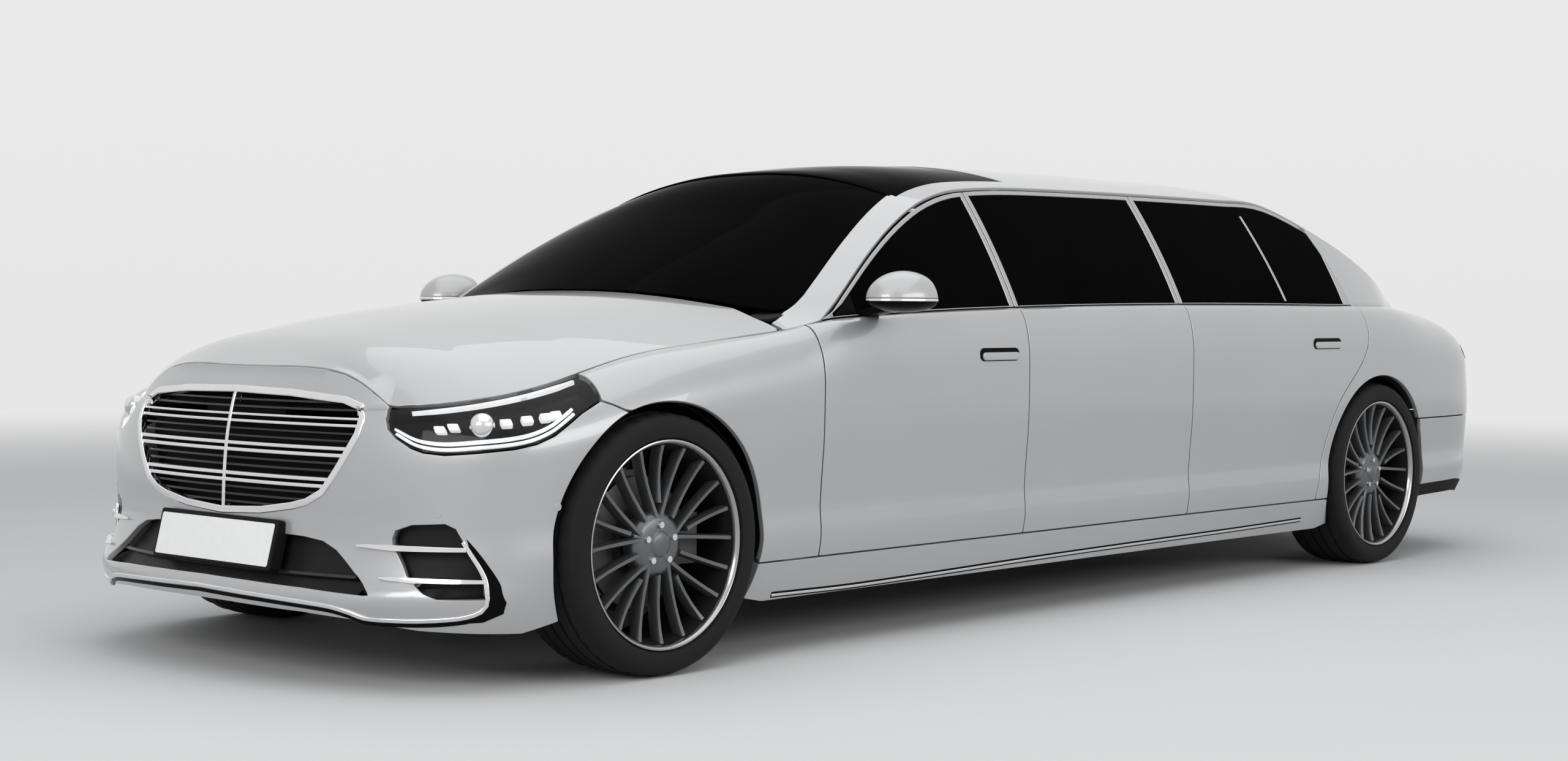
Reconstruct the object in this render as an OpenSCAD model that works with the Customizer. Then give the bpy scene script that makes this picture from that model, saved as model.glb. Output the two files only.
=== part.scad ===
// Stretch limousine: four-door saloon body with a fixed panel let in between the doors.
// Front towards -Y, left side towards +X, wheels on Z = 0, origin under the middle of the body.

/* [Overall] */
// Width over the rear wheel arches, without mirrors
width = 1954; // [1930:2:1980]
// Height to the crown of the roof
height = 1503; // [1490:1:1520]
// Distance between the axles
wheelbase = 3950; // [3850:10:4100]
// Foremost point of the front bumper to the front axle
front_overhang = 830; // [810:5:850]
// Rear axle to the rearmost point of the rear bumper
rear_overhang = 1180; // [1160:5:1260]

/* [Wheels] */
// Tyre diameter
tyre_d = 712; // [700:1:716]
// Tyre width
tyre_w = 255; // [235:1:260]
// Rim diameter over its flanges
rim_d = 568; // [550:1:572]
// Front track, between tyre centres
front_track = 1660; // [1640:2:1670]
// Rear track, between tyre centres
rear_track = 1688; // [1660:2:1692]
// Radius of the wheel arches
arch_r = 384; // [380:1:392]
// Groups of four spokes on each wheel
spoke_groups = 5; // [5:1:6]
// Radius of the stub axles
axle_r = 25; // [20:1:30]

/* [Body heights] */
// Underside of the sills
sill_z = 160; // [150:1:170]
// Top of the side skirts, under the doors
skirt_z = 272; // [265:1:280]
// Crease low on the doors
crease_z = 335; // [325:1:345]
// Belt line under the side windows, at the front door
belt_z = 985; // [975:1:990]
// Floor of the cabin, underside
floor_z = 178; // [170:1:185]
// Floor of the boot, underside
boot_floor_z = 430; // [420:1:450]

/* [Doors] */
// Front edge of the front doors, behind the front axle
door_y = 636; // [630:1:645]
// Length of the front doors
front_door_l = 986; // [970:1:1000]
// Length of the fixed panel between the doors
mid_panel_l = 966; // [900:1:1000]
// Gap round doors and lids
shut_gap = 7; // [6:0.5:8]
// Inner face of the doors, from the middle of the car
door_in_x = 850; // [840:1:855]
// Thickness of the trim cards inside the doors
card_t = 25; // [20:1:30]
// Radius of the hinge pins
pin_r = 7; // [6:0.5:8]

/* [Walls] */
// Thickness of wings and fixed side panels
skin_t = 20; // [16:1:22]
// Thickness of roof, bonnet and boot lid
lid_t = 24; // [18:1:28]
// Thickness of the window glass
glass_t = 5; // [4:0.5:6]
// Clearance where fixed pieces meet
seat = 0.3; // [0.2:0.1:0.5]

/* [Hidden] */
hw = width / 2;
length = front_overhang + wheelbase + rear_overhang;
y_front = -length / 2;
y_rear = length / 2;
fa = y_front + front_overhang;
ra = fa + wheelbase;
wheel_z = tyre_d / 2;
door1_y0 = fa + door_y;
door1_y1 = door1_y0 + front_door_l;
mid_y0 = door1_y1 + shut_gap;
mid_y1 = mid_y0 + mid_panel_l;
door2_y0 = mid_y1 + shut_gap;
door_low_z = skirt_z + shut_gap;
pin_gap = 0.2;
cut_w = 0.6;

// Door hinges: pin forward of the shut line and inboard of the skin, so that the door's edge swings clear
hinge_in = 55;
hinge_fwd = 66;
HINGE_Z = [440, 790];
lug_t = 14;
eye_t = 22;
eye_r = pin_r + 6;
hinge_x = hw - 22 - hinge_in;

// Stations of the lower body, front to rear
// [y, half width, inset of the upper edge, height of that edge, height where the side turns in]
STATIONS = [
    [fa - 700, hw - 44, 140, belt_z - 272, 560],
    [fa - 330, hw - 34, 150, belt_z - 203, 620],
    [fa, hw - 22, 150, belt_z - 123, 690],
    [fa + 300, hw - 21, 128, belt_z - 84, 730],
    [fa + 560, hw - 22, 100, belt_z - 54, 760],
    [fa + 760, hw - 22, 58, belt_z - 22, 800],
    [fa + 1600, hw - 22, 52, belt_z + 12, 820],
    [ra - 1290, hw - 22, 52, belt_z + 28, 830],
    [ra - 300, hw - 9, 62, belt_z + 29, 840],
    [ra + 200, hw - 3, 110, belt_z + 27, 830],
    [ra + 560, hw - 16, 270, belt_z + 12, 800],
    [y_rear - 380, hw - 28, 290, belt_z - 20, 780],
    [y_rear - 80, hw - 44, 290, belt_z - 85, 760],
];
// Share of the half width at each height of the side
LOW = [[sill_z - 20, 0.935], [sill_z, 0.945], [sill_z + 70, 0.966], [crease_z, 0.988],
       [crease_z + 95, 0.984], [650, 1], [1100, 1]];
// Setback of the nose and of the tail on the centre line: [height, setback]
NOSE = [[120, 60], [200, 8], [250, 0], [300, 40], [364, 66], [420, 72], [520, 76], [620, 84], [700, 98],
        [760, 115], [820, 145]];
TAIL = [[180, 190], [230, 120], [300, 45], [420, 8], [560, 0], [640, 12], [720, 40], [820, 62], [900, 70],
        [960, 55], [1000, 70]];
// Heights along the car: upper edge of the side windows' surface, and the centre lines
RAIL = [[fa + 450, 800], [fa + 650, 922], [fa + 800, 1030], [fa + 1000, 1160], [fa + 1200, 1265],
        [fa + 1400, height - 161], [fa + 1600, height - 120], [fa + 2000, height - 100],
        [ra - 750, height - 93], [ra - 440, height - 105], [ra - 60, 1281], [ra + 305, 1111], [ra + 590, 1002]];
CENTRE = [[fa + 450, 1020], [fa + 650, 1118], [fa + 1000, 1292], [fa + 1300, height - 68],
          [fa + 1500, height - 32], [fa + 1752, height - 12], [fa + 2300, height], [ra - 950, height],
          [ra - 450, height - 16], [ra - 60, 1390], [ra + 305, 1210], [ra + 550, 1082]];
BONNET = [[fa - 740, 800], [fa - 690, 826], [fa - 536, 900], [fa - 350, 945], [fa - 121, 984],
          [fa + 335, 1032], [fa + 700, 1056]];
// How sharply the bonnet bends down towards its sides
BEND = [[fa - 680, 4], [fa - 400, 2.8], [fa - 100, 2.4], [fa + 700, 2.4]];
BOOT = [[ra + 520, 1086], [y_rear - 380, 1050], [y_rear - 180, 1006], [y_rear - 60, 962]];

nose_start = fa - 120;
tail_start = ra + 420;
nose_p = 4;
tail_p = 5;
corner_q = 2.2;
tumble = 0.45;
tumble_round = 0.00034;
ledge = 8;

function lerp(a, b, t) = a + (b - a) * t;
function row_at(t, tab, i = 0) = i >= len(tab) - 2 || t < tab[i + 1][0] ? i : row_at(t, tab, i + 1);
function slope_at(tab, i, c) = let (a = max(i - 1, 0), b = min(i + 1, len(tab) - 1))
    (tab[b][c] - tab[a][c]) / (tab[b][0] - tab[a][0]);
// Smooth curve through column c of a table whose first column is the position
function curve(t, tab, c = 1) =
    let (u = min(max(t, tab[0][0]), tab[len(tab) - 1][0]), i = row_at(u, tab),
         p = tab[i], q = tab[i + 1], h = q[0] - p[0], s = (u - p[0]) / h)
    p[c] * (2 * s ^ 3 - 3 * s ^ 2 + 1) + h * slope_at(tab, i, c) * (s ^ 3 - 2 * s ^ 2 + s)
    + q[c] * (3 * s ^ 2 - 2 * s ^ 3) + h * slope_at(tab, i + 1, c) * (s ^ 3 - s ^ 2);

function nose_y(z) = y_front + curve(z, NOSE);
function tail_y(z) = y_rear - curve(z, TAIL);
function edge_z(y) = curve(y, STATIONS, 3);
// Half width of the section at y, before the corners of nose and tail round it off
function section(y, z) =
    let (z0 = curve(y, STATIONS, 4), s = min(max((z - z0) / (edge_z(y) - z0), 0), 1))
    curve(y, STATIONS, 1) * curve(z, LOW) - curve(y, STATIONS, 2) * (1 - sqrt(1 - s * s));
function corner(y, z) =
    let (t = y < nose_start ? (nose_start - y) / (nose_start - nose_y(z))
           : y > tail_start ? (y - tail_start) / (tail_y(z) - tail_start) : 0,
         p = y < nose_start ? nose_p : tail_p)
    (1 - min(t, 1) ^ p) ^ (1 / corner_q);
function half(y, z) = section(y, z) * corner(y, z);
function side_pt(y, z) = [half(y, z), y, z];
// Points round the nose and the tail: angle 0 on the side, 90 on the centre line
function nose_pt(a, z) =
    let (y = nose_start - (nose_start - nose_y(z)) * max(sin(a), 0) ^ (2 / nose_p))
    [section(y, z) * max(cos(a), 0) ^ (2 / corner_q), y, z];
function tail_pt(a, z) =
    let (y = tail_start + (tail_y(z) - tail_start) * max(sin(a), 0) ^ (2 / tail_p))
    [section(y, z) * max(cos(a), 0) ^ (2 / corner_q), y, z];
function edge_x(y) = section(y, edge_z(y)) * corner(y, edge_z(y));
// Surface of the side windows and of the top
function glass_x(y, z) =
    let (h = max(z - edge_z(y), 0)) edge_x(y) - ledge - tumble * h - tumble_round * h * h;
function rail_z(y) = curve(y, RAIL);
function rail_x(y) = glass_x(y, rail_z(y));
function top_z(x, y) = let (c = curve(y, CENTRE)) c - (c - rail_z(y)) * (abs(x) / rail_x(y)) ^ 2.3;
function bonnet_z(x, y) = let (c = curve(y, BONNET))
    c - (c - edge_z(y)) * (abs(x) / edge_x(y)) ^ curve(y, BEND);
function boot_z(x, y) = let (c = curve(y, BOOT)) c - (c - edge_z(y)) * min(abs(x) / edge_x(y), 1) ^ 2.6;
function cowl_y(x) = fa + 500 + 150 * (x / 750) ^ 2;

// Wall between two grids of points with the same rows and columns
module slab(outer, inner) {
    r = len(outer);
    c = len(outer[0]);
    n = r * c;
    border = concat([for (j = [0:c - 1]) j], [for (i = [1:r - 1]) i * c + c - 1],
                    [for (j = [c - 2:-1:0]) (r - 1) * c + j], [for (i = [r - 2:-1:1]) i * c]);
    m = len(border);
    polyhedron(
        points = concat([for (row = outer) each row], [for (row = inner) each row]),
        faces = concat(
            [for (i = [0:r - 2], j = [0:c - 2]) each let (k = i * c + j)
                [[k, k + c, k + 1], [k + 1, k + c, k + c + 1]]],
            [for (i = [0:r - 2], j = [0:c - 2]) each let (k = n + i * c + j)
                [[k, k + 1, k + c], [k + 1, k + c + 1, k + c]]],
            [for (b = [0:m - 1]) each let (p = border[b], q = border[(b + 1) % m])
                [[p, q, n + p], [q, n + q, n + p]]]));
}

function unit(v) = v / norm(v);
function normal_at(g, i, j) =
    let (r = len(g) - 1, c = len(g[0]) - 1,
         along = g[i][min(j + 1, c)] - g[i][max(j - 1, 0)],
         up = g[min(i + 1, r)][j] - g[max(i - 1, 0)][j])
    unit(cross(along, up));
// Panel of even thickness behind a grid of outer points. keep names the axis along which the points of the
// first column, last column, first row and last row stay, so that neighbours don't run into each other
down_axis = 3;
function without(v, axis) =
    axis < 0 ? v : axis == down_axis ? [0, 0, 1] : unit([for (k = [0:2]) k == axis ? 0 : v[k]]);
function inward(g, i, j, keep) =
    let (n = normal_at(g, i, j), a = j == 0 ? keep[0] : j == len(g[0]) - 1 ? keep[1] : -1,
         b = i == 0 ? keep[2] : i == len(g) - 1 ? keep[3] : -1)
    without(without(n, a), b);
module panel(g, t, keep = [-1, -1, -1, -1]) {
    slab(g, [for (i = [0:len(g) - 1]) [for (j = [0:len(g[0]) - 1]) g[i][j] - t * inward(g, i, j, keep)]]);
}
function moved(g, d) = [for (row = g) [for (p = row) p + d]];
// Lid whose underside runs out to a thin lip along its edges: lip thickness, full thickness, width of the lip
function lip_t(g, i, j, lip, t, w) =
    let (r = len(g) - 1, c = len(g[0]) - 1,
         p = g[i][j], d = min(norm(p - g[i][0]), norm(p - g[i][c]), norm(p - g[0][j]), norm(p - g[r][j])))
    lerp(lip, t, min(d / w, 1));
module lid(g, lip, t, w) {
    slab(g, [for (i = [0:len(g) - 1]) [for (j = [0:len(g[0]) - 1])
        g[i][j] - lip_t(g, i, j, lip, t, w) * normal_at(g, i, j)]]);
}

function steps(a, b, n) = [for (i = [0:n]) lerp(a, b, i / n)];

module pair() {
    children();
    mirror([1, 0, 0]) children();
}

// Prism seen from the side, between a lower and an upper height at each y
module side_prism(ys, low, high, x0, x1) {
    for (i = [0:len(ys) - 2]) hull() for (k = [i, i + 1])
        translate([x0, ys[k] - cut_w / 2, low[k]]) cube([x1 - x0, cut_w, high[k] - low[k]]);
}

// Shut lines: y of the rear door's rear edge at each height
REAR_EDGE = [[260, ra - 466], [299, ra - 466], [470, ra - 420], [637, ra - 334], [803, ra - 153],
             [900, ra - 105], [1010, ra - 112], [1100, ra - 128], [1300, ra - 200], [1450, ra - 240]];
function rear_edge(z) = curve(z, REAR_EDGE);

// Side windows: front and rear edge of each
frame_w = 36;
roof_lip = 3;
belt_trim = 14;
glass_in = 4;
function window_low(y) = edge_z(y) + belt_trim;
function window_high(y) = max(rail_z(y) - frame_w, window_low(y) + 4);
win1_y = [fa + 756, door1_y1 - 46];
win2_y = [mid_y0 + 40, mid_y1 - 40];
win3_y = [door2_y0 + 48, ra - 172];
WIN_STEPS = 7;
function win_ys(w) = steps(w[0], w[1], WIN_STEPS);
module window_cut(w) {
    ys = win_ys(w);
    side_prism(ys, [for (y = ys) window_low(y)], [for (y = ys) window_high(y)], 400, 1100);
}
module window_glass(w) {
    ys = steps(w[0] + seat, w[1] - seat, WIN_STEPS);
    g = [for (v = steps(0, 1, 3)) [for (y = ys)
        let (z = lerp(window_low(y) + seat, window_high(y) - 2 * seat, v)) [glass_x(y, z) - glass_in, y, z]]];
    slab(g, moved(g, [-glass_t, 0, 0]));
}

// Door from its lower edge to the roof rail, between a front and a rear edge given as functions of the height
SIDE_V = [0, 0.12, 0.34, 0.58, 0.78, 0.91, 0.975, 1];
DOOR_ROWS = concat([for (v = SIDE_V) [0, v]], [for (v = [0.12, 0.55, 1]) [1, v]]);
function door_pt(row, y, low, top_gap) =
    let (e = edge_z(y), t = max(rail_z(y) - top_gap, e + 3),
         z = row[0] == 0 ? lerp(low, e, row[1]) : lerp(e, t, row[1]))
    [row[0] == 0 ? half(y, z) : glass_x(y, z), y, z];
function door_grid(y0, y1, low, top_gap, curved) =
    [for (row = DOOR_ROWS) [for (u = steps(0, 1, 7))
        let (ya = lerp(y0, y1, u), z = door_pt(row, ya, low, top_gap)[2],
             y = curved ? lerp(y0, rear_edge(z), u) : ya)
        door_pt(row, y, low, top_gap)]];
// Inner face: flat below the belt, a frame above, its front edge set back to swing clear of the panel ahead
frame_d = 28;
bevel = (hinge_in + 4) / hinge_fwd;
function door_inner(g) = [for (i = [0:len(g) - 1]) let (row = g[i]) [for (j = [0:len(row) - 1])
    let (p = row[j], low = i < len(SIDE_V), x = low ? min(door_in_x, p[0] - frame_d) : p[0] - frame_d)
    [x, j == 0 && low ? p[1] + bevel * (p[0] - x) : p[1], p[2]]]];

// More room below the roof, whose flat faces sink a little between their corners
facet_gap = 6;
handle_r = 19;
handle_out = 6;
// Grip bar on a door's skin, from its front end
module handle(y0, z) hull() for (y = [y0 + handle_r, y0 + 200 - handle_r])
    translate([side_pt(y, z)[0] - skin_t, y, z]) rotate([0, 90, 0])
        cylinder(r = handle_r, h = skin_t + handle_out, $fn = 16);
module front_door() {
    g = door_grid(door1_y0, door1_y1, door_low_z, shut_gap + roof_lip + facet_gap, false);
    difference() {
        slab(g, door_inner(g));
        window_cut(win1_y);
    }
    handle(fa + 1365, 850);
}
module rear_door() {
    g = door_grid(door2_y0, ra - 105, door_low_z, shut_gap + roof_lip + facet_gap, true);
    difference() {
        slab(g, door_inner(g));
        window_cut(win3_y);
    }
    handle(fa + 3440, 867);
}
module front_door_L() color("silver") front_door();
module front_door_R() color("silver") mirror([1, 0, 0]) front_door();
module rear_door_L() color("silver") rear_door();
module rear_door_R() color("silver") mirror([1, 0, 0]) rear_door();
module front_glass_L() color("black") window_glass(win1_y);
module front_glass_R() color("black") mirror([1, 0, 0]) window_glass(win1_y);
module rear_glass_L() color("black") window_glass(win3_y);
module rear_glass_R() color("black") mirror([1, 0, 0]) window_glass(win3_y);

module mid_panels() color("silver") pair() {
    g = door_grid(mid_y0, mid_y1, skirt_z + seat, roof_lip + 0.6, false);
    difference() {
        panel(g, skin_t, [1, 1, 2, -1]);
        window_cut(win2_y);
    }
}

post_w = 60;
post_x0 = 770;
post_x1 = 880;
module door_post(y) {
    hy = y - hinge_fwd;
    translate([post_x0, hy - eye_r - 6 - post_w, skirt_z + seat])
        cube([post_x1 - post_x0, post_w, belt_z - 160 - skirt_z]);
    for (z = HINGE_Z) {
        translate([post_x1 - 20, hy - eye_r - 26, z - lug_t])
            cube([hinge_x + eye_r - post_x1 + 20, eye_r + 26, lug_t]);
        translate([hinge_x, hy, z - lug_t]) cylinder(r = eye_r, h = lug_t, $fn = 48);
        translate([hinge_x, hy, z - 1]) cylinder(r = pin_r, h = eye_t + 1, $fn = 48);
    }
}
// Hinges of the lids: a pin along X on a bracket, and an arm with an eye that carries the lid
bonnet_hy = fa + 660;
bonnet_hz = 945;
boot_hy = ra + 380;
boot_hz = 1000;
arm_t = 18;
bonnet_arm_x = 640;
// The lids' undersides lie this much higher at the arms than the full thickness would put them
bonnet_arm_up = 2.7;
boot_arm_up = 8.6;
boot_arm_x = 510;
module lid_bracket(x, y, z, foot_z) {
    translate([x - 14 - seat, y - 20, foot_z]) cube([14, 40, z + 18 - foot_z]);
    translate([x - 14, y, z]) rotate([0, 90, 0]) cylinder(r = pin_r, h = 14 + arm_t, $fn = 48);
}
module hinge_posts() color("dimgray") pair() {
    door_post(door1_y0);
    door_post(door2_y0);
    lid_bracket(bonnet_arm_x, bonnet_hy, bonnet_hz, 818 + seat);
    lid_bracket(boot_arm_x, boot_hy, boot_hz, 930);
    translate([shelf_x + seat, boot_hy - 20, 930]) cube([boot_arm_x - 14 - shelf_x, 40, 25]);
}
// Arm in the plane of Y and Z: outline points from the eye to the lid, measured from the pin
module lid_arm(x, y, z, outline) {
    translate([x, y, z]) difference() {
        union() {
            rotate([0, 90, 0]) cylinder(r = eye_r, h = arm_t, $fn = 48);
            rotate([90, 0, 90]) linear_extrude(arm_t) polygon(outline);
        }
        translate([-1, 0, 0]) rotate([0, 90, 0]) cylinder(r = pin_r + pin_gap, h = arm_t + 2, $fn = 48);
    }
}
module bonnet_arms() color("dimgray") pair()
    lid_arm(bonnet_arm_x, bonnet_hy, bonnet_hz, [[8, 10], [-4, 12], [-54, -32], [-104, -14],
        [-150, bonnet_seat(-150)], [-230, bonnet_seat(-230)], [-228, bonnet_seat(-230) - 22], [-160, -26],
        [-110, -48], [-58, -66], [-4, -12]]);
function bonnet_seat(dy) =
    bonnet_z(bonnet_arm_x + arm_t, bonnet_hy + dy) - lid_t * 1.08 - bonnet_hz - seat + bonnet_arm_up;
function boot_seat(dy) =
    boot_z(boot_arm_x + arm_t, boot_hy + dy) - lid_t * 1.08 - boot_hz - seat + boot_arm_up;
module boot_arms() color("dimgray") pair()
    lid_arm(boot_arm_x, boot_hy, boot_hz, [[-12, -4], [12, 4], [50, -108], [80, -160], [130, -178], [170, -158],
        [214, boot_seat(214)], [262, boot_seat(262)], [244, boot_seat(262) - 26], [196, -182], [128, -212],
        [56, -186], [22, -118]]);
card_y = 102;
module door_card(y0, y1, top) {
    hy = y0 - hinge_fwd;
    cx = door_in_x - seat;
    difference() {
        union() {
            translate([cx - card_t, y0 + card_y, door_low_z + 10])
                cube([card_t, y1 - y0 - card_y, top - door_low_z]);
            translate([cx - card_t - 55, y0 + 300, 640]) cube([55 + card_t, y1 - y0 - 380, 60]);
            for (z = HINGE_Z) translate([0, 0, z + pin_gap]) {
                translate([hinge_x, hy, 0]) cylinder(r = eye_r, h = eye_t, $fn = 48);
                translate([hinge_x, hy, 0]) linear_extrude(eye_t) polygon([[2, eye_r - 2], [-eye_r + 1, -6],
                    [-66, 20], [-82, 46], [cx - card_t - 6 - hinge_x, hinge_fwd + card_y + 12],
                    [cx - 3 - hinge_x, hinge_fwd + card_y + 12], [cx - 3 - hinge_x, 110], [-58, 70],
                    [-56, 44], [-26, 20]]);
            }
        }
        for (z = HINGE_Z) translate([hinge_x, hy, z - 5])
            cylinder(r = pin_r + pin_gap, h = eye_t + 10, $fn = 48);
    }
}
module front_card() door_card(door1_y0, door1_y1 - 30, 900);
module rear_card() door_card(door2_y0, ra - 510, 900);
module front_card_L() color("dimgray") front_card();
module front_card_R() color("dimgray") mirror([1, 0, 0]) front_card();
module rear_card_L() color("dimgray") rear_card();
module rear_card_R() color("dimgray") mirror([1, 0, 0]) rear_card();

// Outside mirrors on the front doors
mirror_y = fa + 880;
module door_mirror() {
    z = belt_z + 62;
    hull() for (p = [[975, -70, 0, 40], [1080, -60, 6, 46], [1085, 40, 0, 42], [985, 30, 0, 40]])
        translate([p[0], mirror_y + p[1], z + p[2]]) scale([1, 1, 1.25]) sphere(r = p[3], $fn = 12);
    hull() {
        for (y = [mirror_y - 60, mirror_y + 50]) translate([edge_x(y) + seat, y, edge_z(y) + seat])
            cube([34, cut_w, 8]);
        translate([985, mirror_y - 40, z - 30]) cube([30, 70, 12]);
    }
}
module mirror_L() color("silver") door_mirror();
module mirror_R() color("silver") mirror([1, 0, 0]) door_mirror();

// Wings, quarters and skirts
floor_x = 800;
fender_y0 = fa - 205;
module arch(y) {
    translate([500, y, wheel_z]) rotate([0, 90, 0]) cylinder(r = arch_r, h = 600, $fn = 64);
}
// Lower edge of the headlamps seen from the side: [y, z]. They reach up to the bonnet
LAMP = [[fa - 655, 690], [fa - 648, 660], [fa - 620, 624], [fa - 560, 618], [fa - 480, 630], [fa - 383, 662],
        [fa - 300, 712], [fa - 233, 750], [fa - 207, 776]];
lamp_high = 850;
lamp_x = 572;
module lamp_prism(gap) {
    side_prism([for (p = LAMP) p[0]], [for (p = LAMP) p[1] + gap], [for (p = LAMP) lamp_high], lamp_x, 1000);
}
module front_wings() color("silver") pair() difference() {
    panel([for (v = SIDE_V) [for (y = steps(fender_y0, door1_y0 - shut_gap, 9))
        side_pt(y, lerp(skirt_z + seat, edge_z(y) - seat, v))]], skin_t, [1, 1, 2, 0]);
    arch(fa);
}
module side_skirts() color("silver") pair() {
    ys = concat([fa + arch_r + 2], steps(fa + 560, ra - 560, 6), [ra - arch_r - 2]);
    g = [for (z = steps(sill_z, skirt_z, 3)) [for (y = ys) side_pt(y, z)]];
    slab(g, [for (row = g) [for (p = row) [floor_x + seat, p[1], p[2]]]]);
}

quarter_y0 = rear_edge(skirt_z) + shut_gap + 1.5;
quarter_split_z = 562;
tail_a = 52;
QUARTER_Y = concat(steps(quarter_y0, ra + 339, 6), [ra + 340, tail_start]);
function quarter_low(y) = y < ra + 339.5 ? skirt_z + seat : quarter_split_z;
function quarter_pt(y0, v) =
    let (w = max(1 - (y0 - quarter_y0) / (ra + 340 - quarter_y0), 0), low = quarter_low(y0),
         z = lerp(low, edge_z(y0) - seat, v), y = y0 + w * (rear_edge(z) - rear_edge(low)))
    side_pt(y, lerp(low, edge_z(y) - seat, v));
function quarter_grid() =
    [for (v = SIDE_V) concat([for (y = QUARTER_Y) quarter_pt(y, v)],
        [for (a = [10, 24, 36, 45, tail_a]) let (p = tail_pt(a, 920))
            tail_pt(a, lerp(quarter_split_z, edge_z(p[1]) - shut_gap - 5, v))])];
window_in = 105;
C_Y = steps(ra - 104, ra + 560, 7);
function pillar_grid() = concat(
    [for (v = steps(0, 1, 3)) [for (y = C_Y)
        let (e = edge_z(y) + seat, t = max(rail_z(y), e + 2), z = lerp(e, t, v),
             ys = max(y, rear_edge(z) + shut_gap + 1.5 + (y - C_Y[0]) * 0.9)) [glass_x(ys, z), ys, z]]],
    [for (v = [0.4, 1]) [for (y = C_Y)
        let (ys = max(y, rear_edge(rail_z(y)) + shut_gap + (y - C_Y[0]) * 0.9),
             x = rail_x(ys) - (window_in - 2) * v)
        [x, ys, max(top_z(x, ys), edge_z(y) + 2 + 2 * v)]]]);
module tail_prism(gap) {
    xs = [640, 720, 800, 860, 940];
    n = len(xs) - 1;
    for (i = [0:n - 1]) hull() for (k = [i, i + 1])
        translate([xs[k] - cut_w / 2, y_rear - 480, lerp(800, 815, k / n) + gap])
            cube([cut_w, 600, lerp(85, 60, k / n) - 2 * gap]);
}
module rear_quarters() color("silver") pair() {
    difference() {
        panel(quarter_grid(), skin_t, [1, 0, 2, 0]);
        tail_prism(0);
        arch(ra);
    }
    panel(pillar_grid(), skin_t, [1, 1, -1, 0]);
}

// Nose and tail
front_low_z = 150;
NOSE_A = [3, 10, 20, 31, 43, 56, 65, 74, 82, 90];
nose_z = 790;
lid_lip = 8;
function under_bonnet(a, z) = let (p = nose_pt(a, z)) bonnet_z(p[0], p[1]) - lid_lip - shut_gap - facet_gap;
function front_top(a) =
    a < bonnet_a - 4 ? edge_z(nose_pt(a, nose_z)[1]) - seat : under_bonnet(a, under_bonnet(a, nose_z));
bonnet_a = 59;
function nose_row(v, low) =
    let (z0 = lerp(low, edge_z(fender_y0) - seat, v),
         left = concat([side_pt(fender_y0 - seat, z0)],
                       [for (a = NOSE_A) nose_pt(a, lerp(low, front_top(a), v))]))
    concat([for (i = [0:len(left) - 2]) [-left[i][0], left[i][1], left[i][2]]],
           [for (i = [len(left) - 1:-1:0]) left[i]]);
// Openings in the nose seen from the front: [x, lower z, upper z] from the middle, or across the left one
GRILLE = [[0, 442, 762], [240, 460, 754], [345, 481, 735], [430, 545, 710], [482, 622, 698], [503, 668, 688]];
INTAKE = [[0, 272, 392], [240, 270, 388], [404, 266, 378], [460, 263, 357], [531, 260, 308], [600, 255, 262]];
SIDE_INTAKE = [[629, 380, 400], [654, 353, 423], [685, 309, 432], [741, 267, 435], [771, 252, 428],
               [797, 251, 390], [821, 250, 348], [846, 248, 264]];
FINS = [[[600, 366, 381], [820, 367, 378]], [[640, 287, 301], [858, 288, 298]]];
function both_sides(rows) =
    concat([for (i = [len(rows) - 1:-1:1]) [-rows[i][0], rows[i][1], rows[i][2]]], rows);
module front_prism(rows, gap) {
    n = len(rows) - 1;
    for (i = [0:n - 1]) hull() for (k = [i, i + 1])
        let (p = rows[k], in = k == 0 ? gap : k == n ? -gap : 0)
            translate([p[0] + in - cut_w / 2, y_front - 50, p[1] + gap]) cube([cut_w, 400, p[2] - p[1] - 2 * gap]);
}
// Sheet along the nose between two angles' columns and two heights, set back from its surface
module nose_sheet(angles, zs, back, t)
    translate([0, back, 0]) panel([for (z = zs) [for (a = angles) nose_signed(a, z)]], t);
MIDDLE_A = [-50, -64, -78, 90, 78, 64, 50];
CORNER_A = [64, 50, 37, 24];
function nose_signed(a, z) = a < 0 ? let (p = nose_pt(-a, z)) [-p[0], p[1], p[2]] : nose_pt(a, z);
module front_bumper() color("silver") {
    difference() {
        panel([for (v = [0, 0.08, 0.2, 0.4, 0.65, 0.85, 0.95, 1]) nose_row(v, front_low_z)],
              skin_t, [1, 1, -1, down_axis]);
        pair() {
            lamp_prism(0);
            arch(fa);
            front_prism(SIDE_INTAKE, 0);
        }
        front_prism(both_sides(GRILLE), 0);
        front_prism(both_sides(INTAKE), 0);
    }
    pair() for (fin = FINS) intersection() {
        nose_sheet(CORNER_A, [fin[0][1] - 20, fin[0][2] + 20], 0, 8);
        front_prism(fin, 0);
    }
}
LAMP_A = [64, 55, 45, 34, 23, 13, 5, 1.1];
lamp_t = 60;
module headlamps() color("gray") pair() intersection() {
    panel([for (v = [0, 0.5, 0.8, 0.94, 1]) [for (a = LAMP_A)
        let (p = nose_pt(a, 700)) nose_pt(a, lerp(590, edge_z(p[1]) - seat, v))]], lamp_t);
    lamp_prism(seat);
}
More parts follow.
